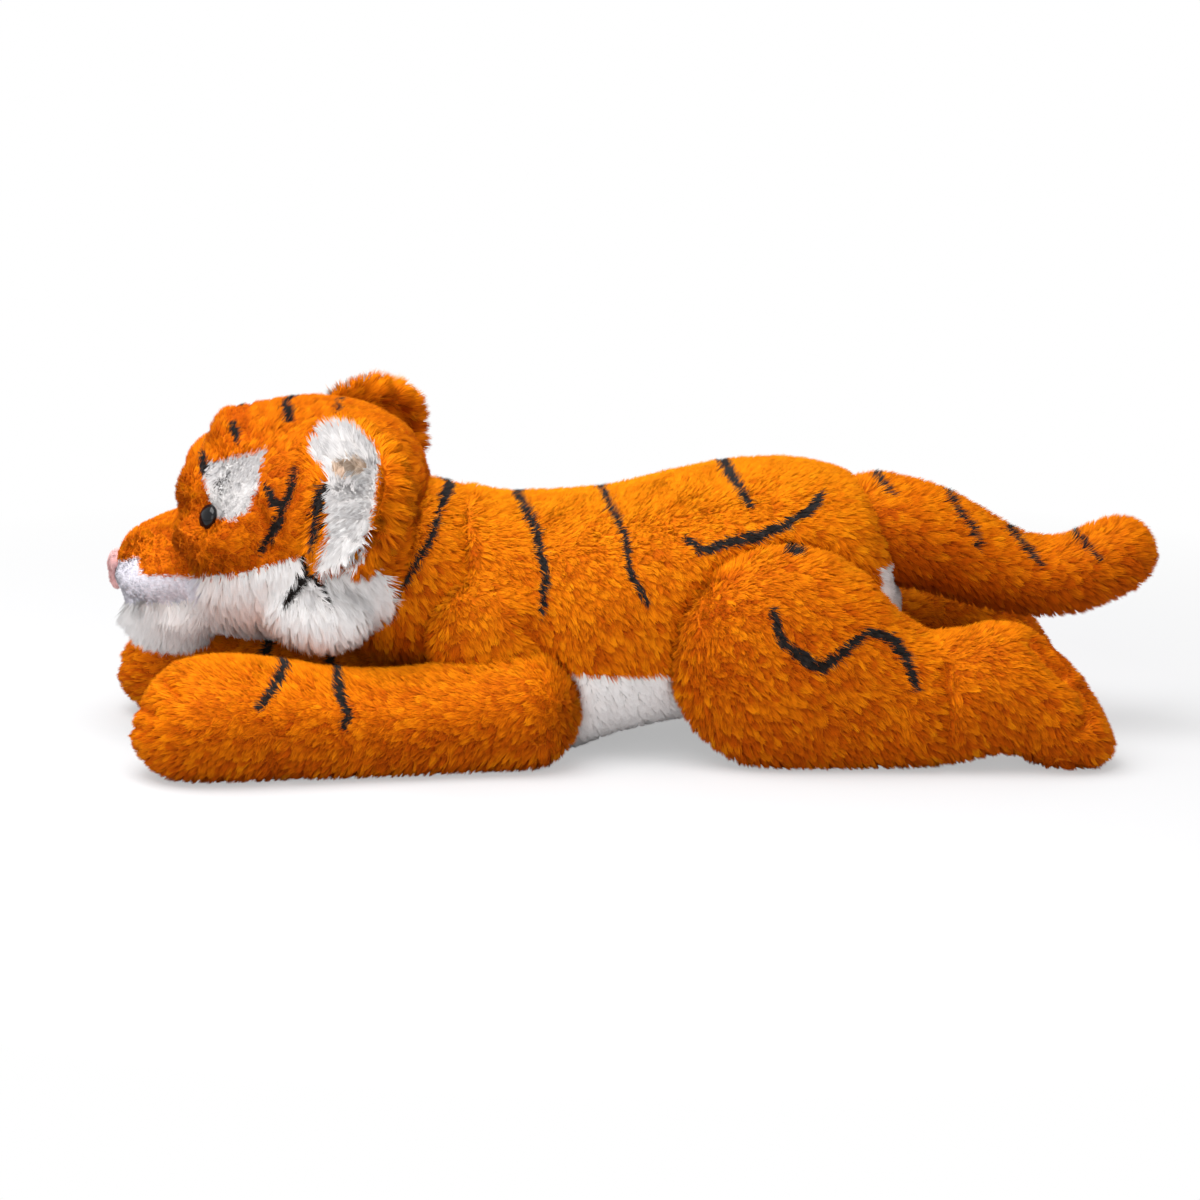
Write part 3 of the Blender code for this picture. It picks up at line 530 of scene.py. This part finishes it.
# The material slot that the pile of each colour is in
SLOT_OF = {
    "orange": "orange_fur",
    "black": "orange_fur",
    "white": "white_fur",
    "smooth": "muzzle_fur",
    "pink": "nose_fur",
    "tan": "white_fur",
}
COATS = list(BANDS)
WHITES = ("white", "smooth", "tan")

# The step in the palette between a strand's corners, and the directions of its three sides
TINT_STEP = 0.001
THIRDS = (0.0, 2 * math.pi / 3, 4 * math.pi / 3)


def coat_colour(colours, tint):
    """Colours of a palette at an array of tints."""
    places = [stop for stop, _ in colours]
    return np.stack([np.interp(tint, places, [c[i] for _, c in colours]) for i in range(3)], 1)


def plain(name):
    """A material with one Principled shader, and its shader and nodes."""
    colour, roughness, specular = SURFACES[name]
    made = bpy.data.materials.new(name)
    made.use_nodes = True
    shader = made.node_tree.nodes["Principled BSDF"]
    shader.inputs["Base Color"].default_value = (*colour, 1.0)
    shader.inputs["Roughness"].default_value = roughness
    shader.inputs["Specular IOR Level"].default_value = specular
    return made, shader, made.node_tree


def ramp(tree, colours):
    """A colour ramp node with a palette's stops."""
    node = tree.nodes.new("ShaderNodeValToRGB")
    stops = node.color_ramp.elements
    for index, (place, colour) in enumerate(colours):
        stop = stops[index] if index < 2 else stops.new(place)
        stop.position = place
        stop.color = (*colour, 1.0)
    return node


def fur_material():
    """Pile: darker at the root, a painted shade of the depths of the pile, and its colour and lightness
    vary from strand to strand.
    """
    made, shader, tree = plain("pile")
    tint = tree.nodes.new("ShaderNodeAttribute")
    tint.attribute_name = "tint"
    along = tree.nodes.new("ShaderNodeAttribute")
    along.attribute_name = "along"
    tips, roots = ramp(tree, TIP_COLOURS), ramp(tree, ROOT_COLOURS)
    mix = tree.nodes.new("ShaderNodeMix")
    mix.data_type = "RGBA"
    tree.links.new(tint.outputs["Fac"], tips.inputs["Fac"])
    tree.links.new(tint.outputs["Fac"], roots.inputs["Fac"])
    tree.links.new(along.outputs["Fac"], mix.inputs["Factor"])
    tree.links.new(roots.outputs["Color"], mix.inputs["A"])
    tree.links.new(tips.outputs["Color"], mix.inputs["B"])
    tree.links.new(mix.outputs["Result"], shader.inputs["Base Color"])
    return made


def hide_material():
    """The knitted cloth under the pile, with the colours of the pile's roots."""
    made, shader, tree = plain("hide")
    coat = tree.nodes.new("ShaderNodeAttribute")
    coat.attribute_name = "coat"
    noise = tree.nodes.new("ShaderNodeTexNoise")
    noise.inputs["Scale"].default_value = KNIT_SCALE
    noise.inputs["Detail"].default_value = KNIT_DETAIL
    place = tree.nodes.new("ShaderNodeTexCoord")
    mix = tree.nodes.new("ShaderNodeMix")
    mix.data_type = "RGBA"
    mix.blend_type = "MULTIPLY"
    mix.inputs["Factor"].default_value = KNIT_SHARE
    bump = tree.nodes.new("ShaderNodeBump")
    bump.inputs["Strength"].default_value = KNIT_BUMP
    bump.inputs["Distance"].default_value = KNIT_DEPTH
    tree.links.new(place.outputs["Object"], noise.inputs["Vector"])
    tree.links.new(coat.outputs["Color"], mix.inputs["A"])
    tree.links.new(noise.outputs["Fac"], mix.inputs["B"])
    tree.links.new(mix.outputs["Result"], shader.inputs["Base Color"])
    tree.links.new(noise.outputs["Fac"], bump.inputs["Height"])
    tree.links.new(bump.outputs["Normal"], shader.inputs["Normal"])
    return made


def add_object(name, content):
    made = bpy.data.objects.new(name, content)
    bpy.context.scene.collection.objects.link(made)
    return made


def evaluated(made):
    """The object's mesh with its modifiers applied."""
    graph = bpy.context.evaluated_depsgraph_get()
    mesh = bpy.data.meshes.new_from_object(made.evaluated_get(graph))
    made.modifiers.clear()
    made.data = mesh
    return made


def points_of(mesh):
    values = np.empty(len(mesh.vertices) * 3)
    mesh.vertices.foreach_get("co", values)
    return values.reshape(-1, 3)


def normals_of(mesh):
    values = np.empty(len(mesh.vertices) * 3)
    mesh.vertex_normals.foreach_get("vector", values)
    return values.reshape(-1, 3)


def set_points(mesh, points):
    mesh.vertices.foreach_set("co", points.astype(np.float32).ravel())
    mesh.update()


def keep_largest(bm):
    """Deletes all but the island with the largest box."""
    left = set(bm.verts)
    islands = []
    while left:
        stack = [left.pop()]
        island = [stack[0]]
        while stack:
            for edge in stack.pop().link_edges:
                for vert in edge.verts:
                    if vert in left:
                        left.discard(vert)
                        stack.append(vert)
                        island.append(vert)
        spans = [max(v.co[i] for v in island) - min(v.co[i] for v in island) for i in range(3)]
        islands.append((spans[0] * spans[1] * spans[2], island))
    islands.sort(key=lambda item: -item[0])
    extra = [vert for _, island in islands[1:] for vert in island]
    bmesh.ops.delete(bm, geom=extra, context="VERTS")


def melt(name, nodes, part, sides=(-1, 1)):
    """One smooth stuffed skin around the solids of some nodes and a part's lumps of stuffing."""
    voxel, passes, swell = HIDES[part]
    about = Matrix.Rotation(HEAD_TURN if part in ("head", "ear") else 0, 4, "Z")
    about = Matrix.Translation(NECK) @ about @ Matrix.Translation(-NECK)
    bm = bmesh.new()
    for node in nodes:
        bm.from_mesh(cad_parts[node].data)
    bmesh.ops.remove_doubles(bm, verts=bm.verts, dist=1e-6)
    for (x, y, z), radii, bearing in LUMPS.get(part, ()):
        for side in sides:
            turn = Euler((0, math.radians(bearing), 0)).to_matrix().to_4x4()
            shape = about @ Matrix.Translation((x, side * y, z)) @ turn @ Matrix.Diagonal((*radii, 1))
            around, across = LUMP_SEGMENTS
            bmesh.ops.create_uvsphere(
                bm, u_segments=around, v_segments=across, radius=1, matrix=shape
            )
    mesh = bpy.data.meshes.new(name)
    bm.to_mesh(mesh)
    bm.free()
    made = add_object(name, mesh)
    remesh = made.modifiers.new("remesh", "REMESH")
    remesh.mode = "VOXEL"
    remesh.voxel_size = voxel
    evaluated(made)
    bm = bmesh.new()
    bm.from_mesh(made.data)
    keep_largest(bm)
    bm.to_mesh(made.data)
    bm.free()
    relax(made, passes)
    if swell:
        set_points(made.data, points_of(made.data) + swell * normals_of(made.data))
    return made


def relax(made, passes, share=0.5):
    """Moves every point towards the middle of its neighbours, some times over."""
    mesh = made.data
    edges = np.empty(len(mesh.edges) * 2, np.int64)
    mesh.edges.foreach_get("vertices", edges)
    a, b = edges.reshape(-1, 2).T
    points = points_of(mesh)
    count = np.maximum(np.bincount(a, minlength=len(points)) + np.bincount(b, minlength=len(points)), 1)
    for _ in range(passes):
        total = np.stack([
            np.bincount(a, points[b, i], len(points)) + np.bincount(b, points[a, i], len(points))
            for i in range(3)
        ], 1)
        points = points + share * (total / count[:, None] - points)
    set_points(mesh, points)


def press(made, part):
    """Pushes creases into a skin where the photograph shows them, on both sides alike."""
    points, facing = points_of(made.data), normals_of(made.data)
    pixels = photo_pixels(points, part)
    seen = left_side(points + SMALL_STEP * facing, part) - left_side(points, part)
    towards = -np.array(photo_axes()[3])
    front = np.clip((unit(seen) @ towards) * PRESS_EDGE, 0, 1)
    push = np.zeros(len(points))
    for line, half, depth in CREASES[part]:
        push += depth * np.exp(-((distance_to(pixels, line) / half) ** 2)) * front
    set_points(made.data, points - facing * push[:, None])


def seams(part, points):
    """How near points lie to a crease, from 0 far off to 1 in its middle."""
    pixels, near = photo_pixels(points, part), np.zeros(len(points))
    for line, half, _ in CREASES.get(part, ()):
        near = np.maximum(near, np.exp(-((distance_to(pixels, line) / (SEAM_SHARE * half)) ** 2)))
    return near


def settle(made):
    """Flattens a skin on the floor."""
    points = points_of(made.data)
    points[:, 2] = np.maximum(points[:, 2], HIDE_CLEAR)
    set_points(made.data, points)


def scatter(made, count, seed):
    """Places spread evenly over a skin, and the way it faces there."""
    mesh = made.data
    mesh.calc_loop_triangles()
    corners = np.empty(len(mesh.loop_triangles) * 3, np.int64)
    mesh.loop_triangles.foreach_get("vertices", corners)
    a, b, c = corners.reshape(-1, 3).T
    points, facing = points_of(mesh), normals_of(mesh)
    area = np.linalg.norm(np.cross(points[b] - points[a], points[c] - points[a]), axis=1) / 2
    reach = np.cumsum(area)
    random = np.random.default_rng(seed)
    pick = (np.arange(count) + random.random(count)) / count * reach[-1]
    chosen = np.minimum(np.searchsorted(reach, pick), len(area) - 1)
    u, v = random.random((2, count))
    fold = u + v > 1
    u, v = np.where(fold, 1 - u, u)[:, None], np.where(fold, 1 - v, v)[:, None]
    a, b, c = a[chosen], b[chosen], c[chosen]
    roots = points[a] * (1 - u - v) + points[b] * u + points[c] * v
    normals = unit(facing[a] * (1 - u - v) + facing[b] * u + facing[c] * v)
    return roots, normals


def area_of(made):
    return sum(polygon.area for polygon in made.data.polygons)


def solid_tree(name):
    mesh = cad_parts[name].data
    return BVHTree.FromPolygons(
        [vertex.co.copy() for vertex in mesh.vertices],
        [tuple(polygon.vertices) for polygon in mesh.polygons],
    )


def nearer(points, first, second):
    """Which points lie nearer to one solid than to another."""
    one, other = solid_tree(first), solid_tree(second)
    gaps = ((one.find_nearest(point)[3], other.find_nearest(point)[3]) for point in points)
    return np.array([near < far for near, far in gaps], bool)


def ear_front(side):
    """The way that an ear's lining faces."""
    lining, back = (
        points_of(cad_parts[name + side].data).mean(0) for name in ("ear_lining_", "ear_back_")
    )
    return (lining - back) / np.linalg.norm(lining - back)


def on_belly(points):
    """Which points lie on the white of the belly and rump."""
    x, y, z = points.T
    rump = (x > RUMP[0]) & (np.abs(y) < RUMP[1]) & (z < RUMP[2])
    return rump | nearer(points - np.array((0, 0, BELLY_RISE)), "belly_panel", "torso_skin")


def on_lining(side, points, facing):
    """Which points of an ear look the way of its lining, and not in towards the head."""
    outward = (turned_head(points + facing, -1) - turned_head(points, -1))[:, 1]
    outward *= -1 if side == "left" else 1
    return (facing @ ear_front(side) > LINING_SHARE) & (outward > INWARD_SHARE)


def index_of(key):
    return COATS.index(key)


def coats_on(part, points, facing, piece):
    """The colour of the pile at each place, as its number in the list of coats."""
    pixels = photo_pixels(points, part)
    soft = pixels + BORDER_BLUR * np.random.default_rng(11).normal(size=pixels.shape)
    coat = np.full(len(points), index_of("orange"))
    if part == "nose":
        coat[:] = index_of("pink")
    elif part == "torso":
        coat[on_belly(points)] = index_of("white")
    elif part == "ear":
        front = on_lining(piece.split("_")[-1], points, facing)
        coat[front & inside(soft, EAR_WHITE)] = index_of("white")
        # Tan pile in the ear's hollow, a painted shade of the hollow
        coat[front & (distance_to(pixels, EAR_HOLLOW) < HOLLOW_REACH)] = index_of("tan")
    elif part == "head":
        straight = turned_head(points, -1)
        coat[inside(soft, WHITE_FACE)] = index_of("white")
        coat[inside(soft, EYE_PATCH) & (np.abs(straight[:, 1]) > PATCH_INNER)] = index_of("white")
        coat[inside(soft, SMOOTH_FACE) & (straight[:, 0] < MUZZLE_REAR)] = index_of("smooth")
    for line, half in STRIPES.get(part, ()):
        coat[on_stripe(soft, line, half)] = index_of("black")
    return coat


def pile_on(part, roots, coat):
    """Each strand's length, the way it is combed, and how far it leans."""
    white, count = coat == index_of("white"), len(roots)
    length, lean = np.full(count, LENGTHS.get(part, LENGTHS["body"])), np.full(count, LEANS["body"])
    comb = np.tile(COMBS.get(part, BODY_COMB), (count, 1))
    if part == "torso":
        length[white] = LENGTHS["belly"]
    elif part == "ear":
        length[white] = LENGTHS["ear lining"]
        lean[:] = LEANS["ear"]
        comb = unit(roots - roots.mean(0) - np.array(EAR_COMB))
    elif part == "head":
        length, comb, lean = pile_on_head(turned_head(roots, -1), white, coat == index_of("smooth"))
    return length, comb, lean


def pile_on_head(straight, white, smooth):
    """The head's pile, combed away from the nose, at places before the head's turn."""
    x, y, z = straight.T
    snout = np.clip((SNOUT_REAR - x) / SNOUT_SPAN, 0, 1)
    length = LENGTHS["head"] + (LENGTHS["snout"] - LENGTHS["head"]) * snout
    lean = np.full(len(x), LEANS["body"])
    away = unit(straight - np.array(NOSE_TIP))
    away[:, 2] *= HEAD_COMB_RISE

    ruff = white & (z < RUFF_TOP)
    rear = np.clip((x - RUFF_FRONT) / RUFF_SPAN, 0, 1)
    length[ruff] = (LENGTHS["ruff"] + (LENGTHS["rear of ruff"] - LENGTHS["ruff"]) * rear)[ruff]
    lean[ruff] = LEANS["ruff"]
    back, aside, rise = RUFF_COMB
    change = RUFF_COMB_REAR * rear
    hang = np.stack([back + change, aside * np.sign(y), rise + change], 1)
    away[ruff] = unit(hang)[ruff]

    chin = white & (x < MUZZLE_REAR)
    length[chin] = LENGTHS["chin"]
    away[chin] = COMBS["chin"]
    length[white & (z > PATCH_LOW) & (x < PATCH_REAR)] = LENGTHS["eye patch"]
    length[smooth] = LENGTHS["smooth"]
    lean[smooth] = LEANS["smooth"]
    return length, turned_head(away + np.array(NECK)) - np.array(NECK), lean


def clear_of_eyes(roots, normals):
    """Leaves out the roots that lie under the domes of the eyes."""
    clear = np.ones(len(roots), bool)
    for place, _ in eye_places():
        clear &= np.linalg.norm(roots - place, axis=1) > EYE_CLEAR
    return roots[clear], normals[clear]


def gather_tufts(roots, normals, heading, length, density, random):
    """The strands' tips, drawn together in tufts, and the strand in the middle of each one's tuft."""
    count = len(roots)
    tufts = max(int(count / (DENSITY * density * TUFT * TUFT)), 1)
    centres = random.permutation(count)[:tufts]
    tree = KDTree(tufts)
    for index, centre in enumerate(centres):
        tree.insert(roots[centre], index)
    tree.balance()
    nearest = centres[np.fromiter((tree.find(root)[1] for root in roots), np.int64, count)]
    upward = np.clip(normals[:, 2], -1, 1)
    strength = SIDE_GATHER_SHARE - TOP_GATHER_SHARE * upward
    share = (random.uniform(*GATHER_SHARES, count) * strength)[:, None]
    goal = roots[nearest] + heading[nearest] * (length * TUFT_REACH_SHARE)[:, None]
    tips = (roots + heading * length[:, None]) * (1 - share) + goal * share
    tips[:, 2] = np.maximum(tips[:, 2], FLOOR_CLEAR)
    return tips, nearest


def tints_of(part, coat, pale, normals, patchy, crease_near, nearest, random):
    """Each strand's tint in the palette: painted light and shade as it faces, painted shade in creases,
    and unlike its neighbours'.
    """
    count, upward = len(coat), np.clip(normals[:, 2], -1, 1)
    low, high = np.array([BANDS[key] for key in COATS])[coat].T
    tuft_shade = random.normal(size=count)[nearest]
    level, painted_side_shade = SHADES[part]
    # Painted light on top and painted shade on the sides and below, by the way the skin faces
    orange = level + PAINTED_TOP_LIGHT * upward - painted_side_shade * (1 - upward)
    # Pale pile gets painted shade on top, against the strong light there
    shade = np.where(pale, PALE_SHADE - PAINTED_PALE_TOP_SHADE * upward, orange)
    rough = np.where(pale, PALE_TUFT_SHADE, SIDE_TUFT_SHADE - TOP_TUFT_SHADE * upward)
    chance = STRAND_SHADE * random.normal(size=count)
    # Painted shade in creases, beside changes from patch to patch, from tuft to tuft and by chance
    shade += PATCH_SHADE * patchy - PAINTED_CREASE_SHADE * crease_near + rough * tuft_shade + chance
    return low + (high - low) * np.clip(shade, *SHADE_LIMITS)


def grow(name, body, part, made, seed):
    """Grows pile on a skin: tapering strands whose tips gather in tufts."""
    density = DENSITY_SHARES.get(part, 1.0)
    roots, normals = scatter(made, int(area_of(made) * DENSITY * density), seed)
    if part == "head":
        roots, normals = clear_of_eyes(roots, normals)
    count = len(roots)
    random = np.random.default_rng(seed + 100)
    coat = coats_on(part, roots + COAT_HEIGHT * normals, normals, name)
    length, comb, lean = pile_on(part, roots, coat)
    rise = unit(normals + along_skin(comb, normals) * lean[:, None])
    coat = coats_on(part, roots + rise * (COAT_SHARE * length)[:, None], normals, name)
    slow, quick = (ripple(roots, wave, seed + 1 + k) for k, wave in enumerate(PATCH_WAVES))
    patchy = PATCH_WAVE_SHARES[0] * slow + PATCH_WAVE_SHARES[1] * quick
    # Nearness to a crease: shorter pile there, and painted shade
    crease_near = seams(part, roots)
    length *= random.uniform(*LENGTH_SHARES, count) * (1 + PATCH_LENGTH_SHARE * patchy)
    length *= 1 - SEAM_LENGTH_SHARE * crease_near
    lean *= 1 + PATCH_LEAN_SHARE * patchy + TOP_LEAN_SHARE * np.clip(normals[:, 2], 0, 1)
    wander = np.stack([ripple(roots, COMB_WAVE, seed + k) for k in (3, 4, 5)], 1)
    comb = comb + COMB_WANDER_SHARE * wander
    loose = LOOSE_SHARE * random.normal(size=(count, 3))
    heading = unit(normals + along_skin(comb, normals) * lean[:, None] + loose)
    tips, nearest = gather_tufts(roots, normals, heading, length, density, random)
    roots = roots - normals * ROOT_DEPTH

    wide = STRAND_WIDTH / math.sqrt(3) * random.uniform(*WIDTH_SHARES, count) / math.sqrt(density)
    pale = np.isin(coat, [index_of(key) for key in WHITES])
    wide = wide * np.where(pale, WHITE_WIDTH_SHARE, 1)
    roll = random.normal(size=(count, 3))
    tint = tints_of(part, coat, pale, normals, patchy, crease_near, nearest, random)
    slots = np.array([SLOT_OF[key] for key in COATS])[coat]
    for slot in sorted(set(slots)):
        chosen = np.flatnonzero(slots == slot)
        chosen = chosen[np.argsort(roots[chosen, 1], kind="stable")]
        groups = np.array_split(chosen, math.ceil(len(chosen) / MOST_STRANDS))
        groups = [half for group in groups for half in (group[0::2], group[1::2]) if len(half)]
        for number, some in enumerate(groups):
            strands = (values[some] for values in (roots, tips, wide, roll, tint, normals))
            piece = strand_mesh(f"{name}_{slot}_{number + 1}", *strands)
            # Real fibres let light through: half of the orange ones cast a shadow, and no pale ones
            piece.visible_shadow = number % 2 == 0 and slot == "orange_fur"
            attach(piece, body)


def strand_mesh(name, roots, tips, wide, roll, tint, normals):
    """One mesh of tapering three-sided strands, which shade like the skin that they stand on."""
    count = len(roots)
    heading = unit(tips - roots)
    first = unit(np.cross(heading, roll)) * wide[:, None]
    second = np.cross(heading, first)
    ring = [roots + first * math.cos(turn) + second * math.sin(turn) for turn in THIRDS]
    mesh = bpy.data.meshes.new(name)
    mesh.vertices.add(count * 4)
    mesh.vertices.foreach_set("co", np.stack([*ring, tips], 1).astype(np.float32).ravel())
    loops = np.array((0, 1, 3, 1, 2, 3, 2, 0, 3)) + 4 * np.arange(count)[:, None]
    mesh.loops.add(count * 9)
    mesh.loops.foreach_set("vertex_index", loops.astype(np.int32).ravel())
    mesh.polygons.add(count * 3)
    mesh.polygons.foreach_set("loop_start", np.arange(0, count * 9, 3, dtype=np.int32))
    mesh.update(calc_edges=True)
    mesh.shade_smooth()
    along = np.tile(np.array((0.0, 0.0, 0.0, 1.0), np.float32), count)
    mesh.attributes.new("along", "FLOAT", "POINT").data.foreach_set("value", along)
    tints = np.repeat(tint, 4).astype(np.float32)
    mesh.attributes.new("tint", "FLOAT", "POINT").data.foreach_set("value", tints)
    palette = mesh.uv_layers.new(name="OFBake")
    across = tint[:, None] + np.tile((0, 2 * TINT_STEP, TINT_STEP), 3)
    rise = np.broadcast_to(np.tile((0.0, 0.0, 1.0), 3), (count, 9))
    palette.data.foreach_set("uv", np.stack([across, rise], 2).astype(np.float32).ravel())
    mesh.materials.append(PILE)
    mesh.normals_split_custom_set_from_vertices(np.repeat(normals, 4, axis=0).astype(np.float32))
    return add_object(name, mesh)


def dress(made, part, body, nodes):
    """Colours a skin like the roots of its pile, and has it stand for its solids."""
    coat = coats_on(part, points_of(made.data), normals_of(made.data), made.name)
    middle = np.array([sum(BANDS[key]) / 2 for key in COATS])[coat]
    colours = 0.5 * (coat_colour(ROOT_COLOURS, middle) + coat_colour(TIP_COLOURS, middle))
    colours = np.concatenate([colours, np.ones((len(coat), 1))], 1)
    store = made.data.color_attributes.new("coat", "FLOAT_COLOR", "POINT")
    store.data.foreach_set("color", colours.ravel())
    made.data.materials.clear()
    made.data.materials.append(HIDE)
    made.data.shade_smooth()
    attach(made, body)
    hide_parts(*nodes)


def make_torso():
    nodes = ("torso_skin", "belly_panel", "torso_stuffing")
    made = melt("torso_hide", nodes, "torso")
    press(made, "torso")
    settle(made)
    dress(made, "torso", "torso", nodes)
    grow("torso", "torso", "torso", made, seed=10)


def make_nape():
    made = melt("nape_hide", ("neck",), "nape")
    dress(made, "nape", "neck", ("neck",))
    grow("nape", "neck", "nape", made, seed=20)


def eye_places():
    """The place of each eye on the face, and the way it looks."""
    places = []
    for side in ("left", "right"):
        points = points_of(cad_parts["eye_" + side].data)
        washer = points_of(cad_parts["eye_washer_" + side].data)
        low, high = points.min(0), points.max(0)
        out = (low + high) / 2 - (washer.min(0) + washer.max(0)) / 2
        out /= np.linalg.norm(out)
        reach = ((points - points.mean(0)) @ out).max()
        places.append((points.mean(0) + out * (reach - EYE_DOME), out))
    return places


def sink_eyes(made):
    """Presses a socket around each eye, so that its dome stands free of the face."""
    points = points_of(made.data)
    for place, out in eye_places():
        away = points - place
        height = away @ out
        spread = np.linalg.norm(away - height[:, None] * out, axis=1)
        most = np.maximum(spread - EYE_CLEAR, 0) * SOCKET_SLOPE - SOCKET_DEPTH
        near = (spread < 2 * EYE_CLEAR) & (np.abs(height) < SOCKET_REACH)
        drop = np.where(near, np.maximum(height - most, 0), 0)
        points -= drop[:, None] * out
    set_points(made.data, points)


def make_head():
    nodes = (
        "head_skin", "head_stuffing", "cheek_left", "cheek_right", "eye_patch_left",
        "eye_patch_right", "bridge", "muzzle", "chin",
    )
    made = melt("head_hide", nodes, "head")
    press(made, "head")
    sink_eyes(made)
    dress(made, "head", "head", nodes)
    grow("head", "head", "head", made, seed=30)


def make_nose():
    made = melt("nose_pad", ("nose",), "nose")
    dress(made, "nose", "head", ("nose",))
    grow("nose", "head", "nose", made, seed=90)


def make_eyes():
    """Smooth domes in place of the faceted eyes, and the washers' plain plastic."""
    glossy = plain("eye")[0]
    washer = plain("washer")[0]
    for side, (place, out) in zip(("left", "right"), eye_places()):
        bm = bmesh.new()
        around, across = EYE_SEGMENTS
        bmesh.ops.create_uvsphere(bm, u_segments=around, v_segments=across, radius=1)
        ahead = Vector(out) + EYE_AHEAD * Vector((-math.cos(HEAD_TURN), -math.sin(HEAD_TURN), 0))
        facing = ahead.to_track_quat("Z", "Y").to_matrix().to_4x4()
        shape = Matrix.Translation(place) @ facing @ Matrix.Diagonal((*EYE_RADII, 1))
        bmesh.ops.transform(bm, matrix=shape, verts=bm.verts)
        mesh = bpy.data.meshes.new("eye_dome_" + side)
        bm.to_mesh(mesh)
        bm.free()
        mesh.materials.append(glossy)
        mesh.shade_smooth()
        dome = add_object("eye_dome_" + side, mesh)
        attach(dome, "head")
        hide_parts("eye_" + side)
        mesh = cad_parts["eye_washer_" + side].data
        mesh.materials.clear()
        mesh.materials.append(washer)


def make_ears():
    for number, side in enumerate(("left", "right")):
        nodes = ("ear_back_" + side, "ear_lining_" + side)
        made = melt("ear_hide_" + side, nodes, "ear", sides=(2 * number - 1,))
        press(made, "ear")
        dress(made, "ear", "ear_" + side, nodes)
        grow("ear_" + side, "ear_" + side, "ear", made, seed=40 + number)


def make_legs():
    for number, node in enumerate(("foreleg_left", "foreleg_right", "hindleg_left", "hindleg_right")):
        kind = node.split("_")[0]
        made = melt(node + "_hide", (node,), kind)
        press(made, kind)
        settle(made)
        dress(made, kind, node, (node,))
        grow(node, node, kind, made, seed=50 + 4 * number)


def make_tail():
    made = melt("tail_hide", ("tail",), "tail")
    dress(made, "tail", "tail", ("tail",))
    grow("tail", "tail", "tail", made, seed=70)


def make_camera():
    place, right, up, forward = photo_axes()
    camera = bpy.data.cameras.new("camera")
    camera.sensor_width = SENSOR
    camera.lens = SENSOR * VIEW_DISTANCE / (PIXEL * PHOTO_SIDE)
    camera.clip_end = CAMERA_REACH
    made = add_object("camera", camera)
    turn = Matrix((right, up, -forward)).transposed()
    made.matrix_world = Matrix.Translation(place) @ turn.to_4x4()
    bpy.context.scene.camera = made


def make_light(name, place, target, size, power):
    light = bpy.data.lights.new(name, "AREA")
    light.shape = "RECTANGLE"
    light.size, light.size_y = size
    light.energy = power
    made = add_object(name, light)
    facing = (Vector(place) - Vector(target)).to_track_quat("Z", "Y")
    made.matrix_world = Matrix.Translation(place) @ facing.to_matrix().to_4x4()


def maths(tree, operation, first, second):
    """A maths node on two values or outputs."""
    node = tree.nodes.new("ShaderNodeMath")
    node.operation = operation
    for socket, value in zip(node.inputs, (first, second)):
        if isinstance(value, (int, float)):
            socket.default_value = value
        else:
            tree.links.new(value, socket)
    return node.outputs[0]


def make_floor():
    """A pale floor that keeps soft shadows near the toy and is plain white further out."""
    bm = bmesh.new()
    bmesh.ops.create_grid(bm, x_segments=1, y_segments=1, size=FLOOR_REACH)
    mesh = bpy.data.meshes.new("floor")
    bm.to_mesh(mesh)
    bm.free()
    made, shader, tree = plain("floor")
    rays = tree.nodes.new("ShaderNodeLightPath")
    place = tree.nodes.new("ShaderNodeTexCoord")
    far = tree.nodes.new("ShaderNodeVectorMath")
    far.operation = "LENGTH"
    tree.links.new(place.outputs["Object"], far.inputs[0])
    fade = tree.nodes.new("ShaderNodeMapRange")
    fade.inputs["From Min"].default_value, fade.inputs["From Max"].default_value = FLOOR_FADE
    fade.inputs["To Min"].default_value = FLOOR_GLOW
    tree.links.new(far.outputs["Value"], fade.inputs["Value"])
    white = tree.nodes.new("ShaderNodeEmission")
    mix = tree.nodes.new("ShaderNodeMixShader")
    share = maths(tree, "MULTIPLY", rays.outputs["Is Camera Ray"], fade.outputs["Result"])
    tree.links.new(share, mix.inputs["Fac"])
    tree.links.new(shader.outputs["BSDF"], mix.inputs[1])
    tree.links.new(white.outputs["Emission"], mix.inputs[2])
    tree.links.new(mix.outputs["Shader"], tree.nodes["Material Output"].inputs["Surface"])
    mesh.materials.append(made)
    add_object("floor", mesh)


def make_surround():
    """A studio that the camera, gloss and glass see as white, with an even light of its own."""
    world = bpy.data.worlds.new("studio")
    bpy.context.scene.world = world
    world.use_nodes = True
    tree = world.node_tree
    background = tree.nodes["Background"]
    background.inputs["Color"].default_value = (1, 1, 1, 1)
    rays = tree.nodes.new("ShaderNodeLightPath")
    seen = maths(tree, "MAXIMUM", rays.outputs["Is Camera Ray"], rays.outputs["Is Glossy Ray"])
    seen = maths(tree, "MAXIMUM", seen, rays.outputs["Is Transmission Ray"])
    strength = tree.nodes.new("ShaderNodeMapRange")
    strength.inputs["To Min"].default_value = SURROUND_LIGHT
    tree.links.new(seen, strength.inputs["Value"])
    tree.links.new(strength.outputs["Result"], background.inputs["Strength"])


PILE = fur_material()
HIDE = hide_material()

bpy.context.scene.view_settings.view_transform = "Standard"
make_camera()
make_floor()
make_surround()
for lamp, settings in LAMPS.items():
    make_light(lamp, *settings)
make_torso()
make_nape()
make_head()
make_nose()
make_eyes()
make_ears()
make_legs()
make_tail()
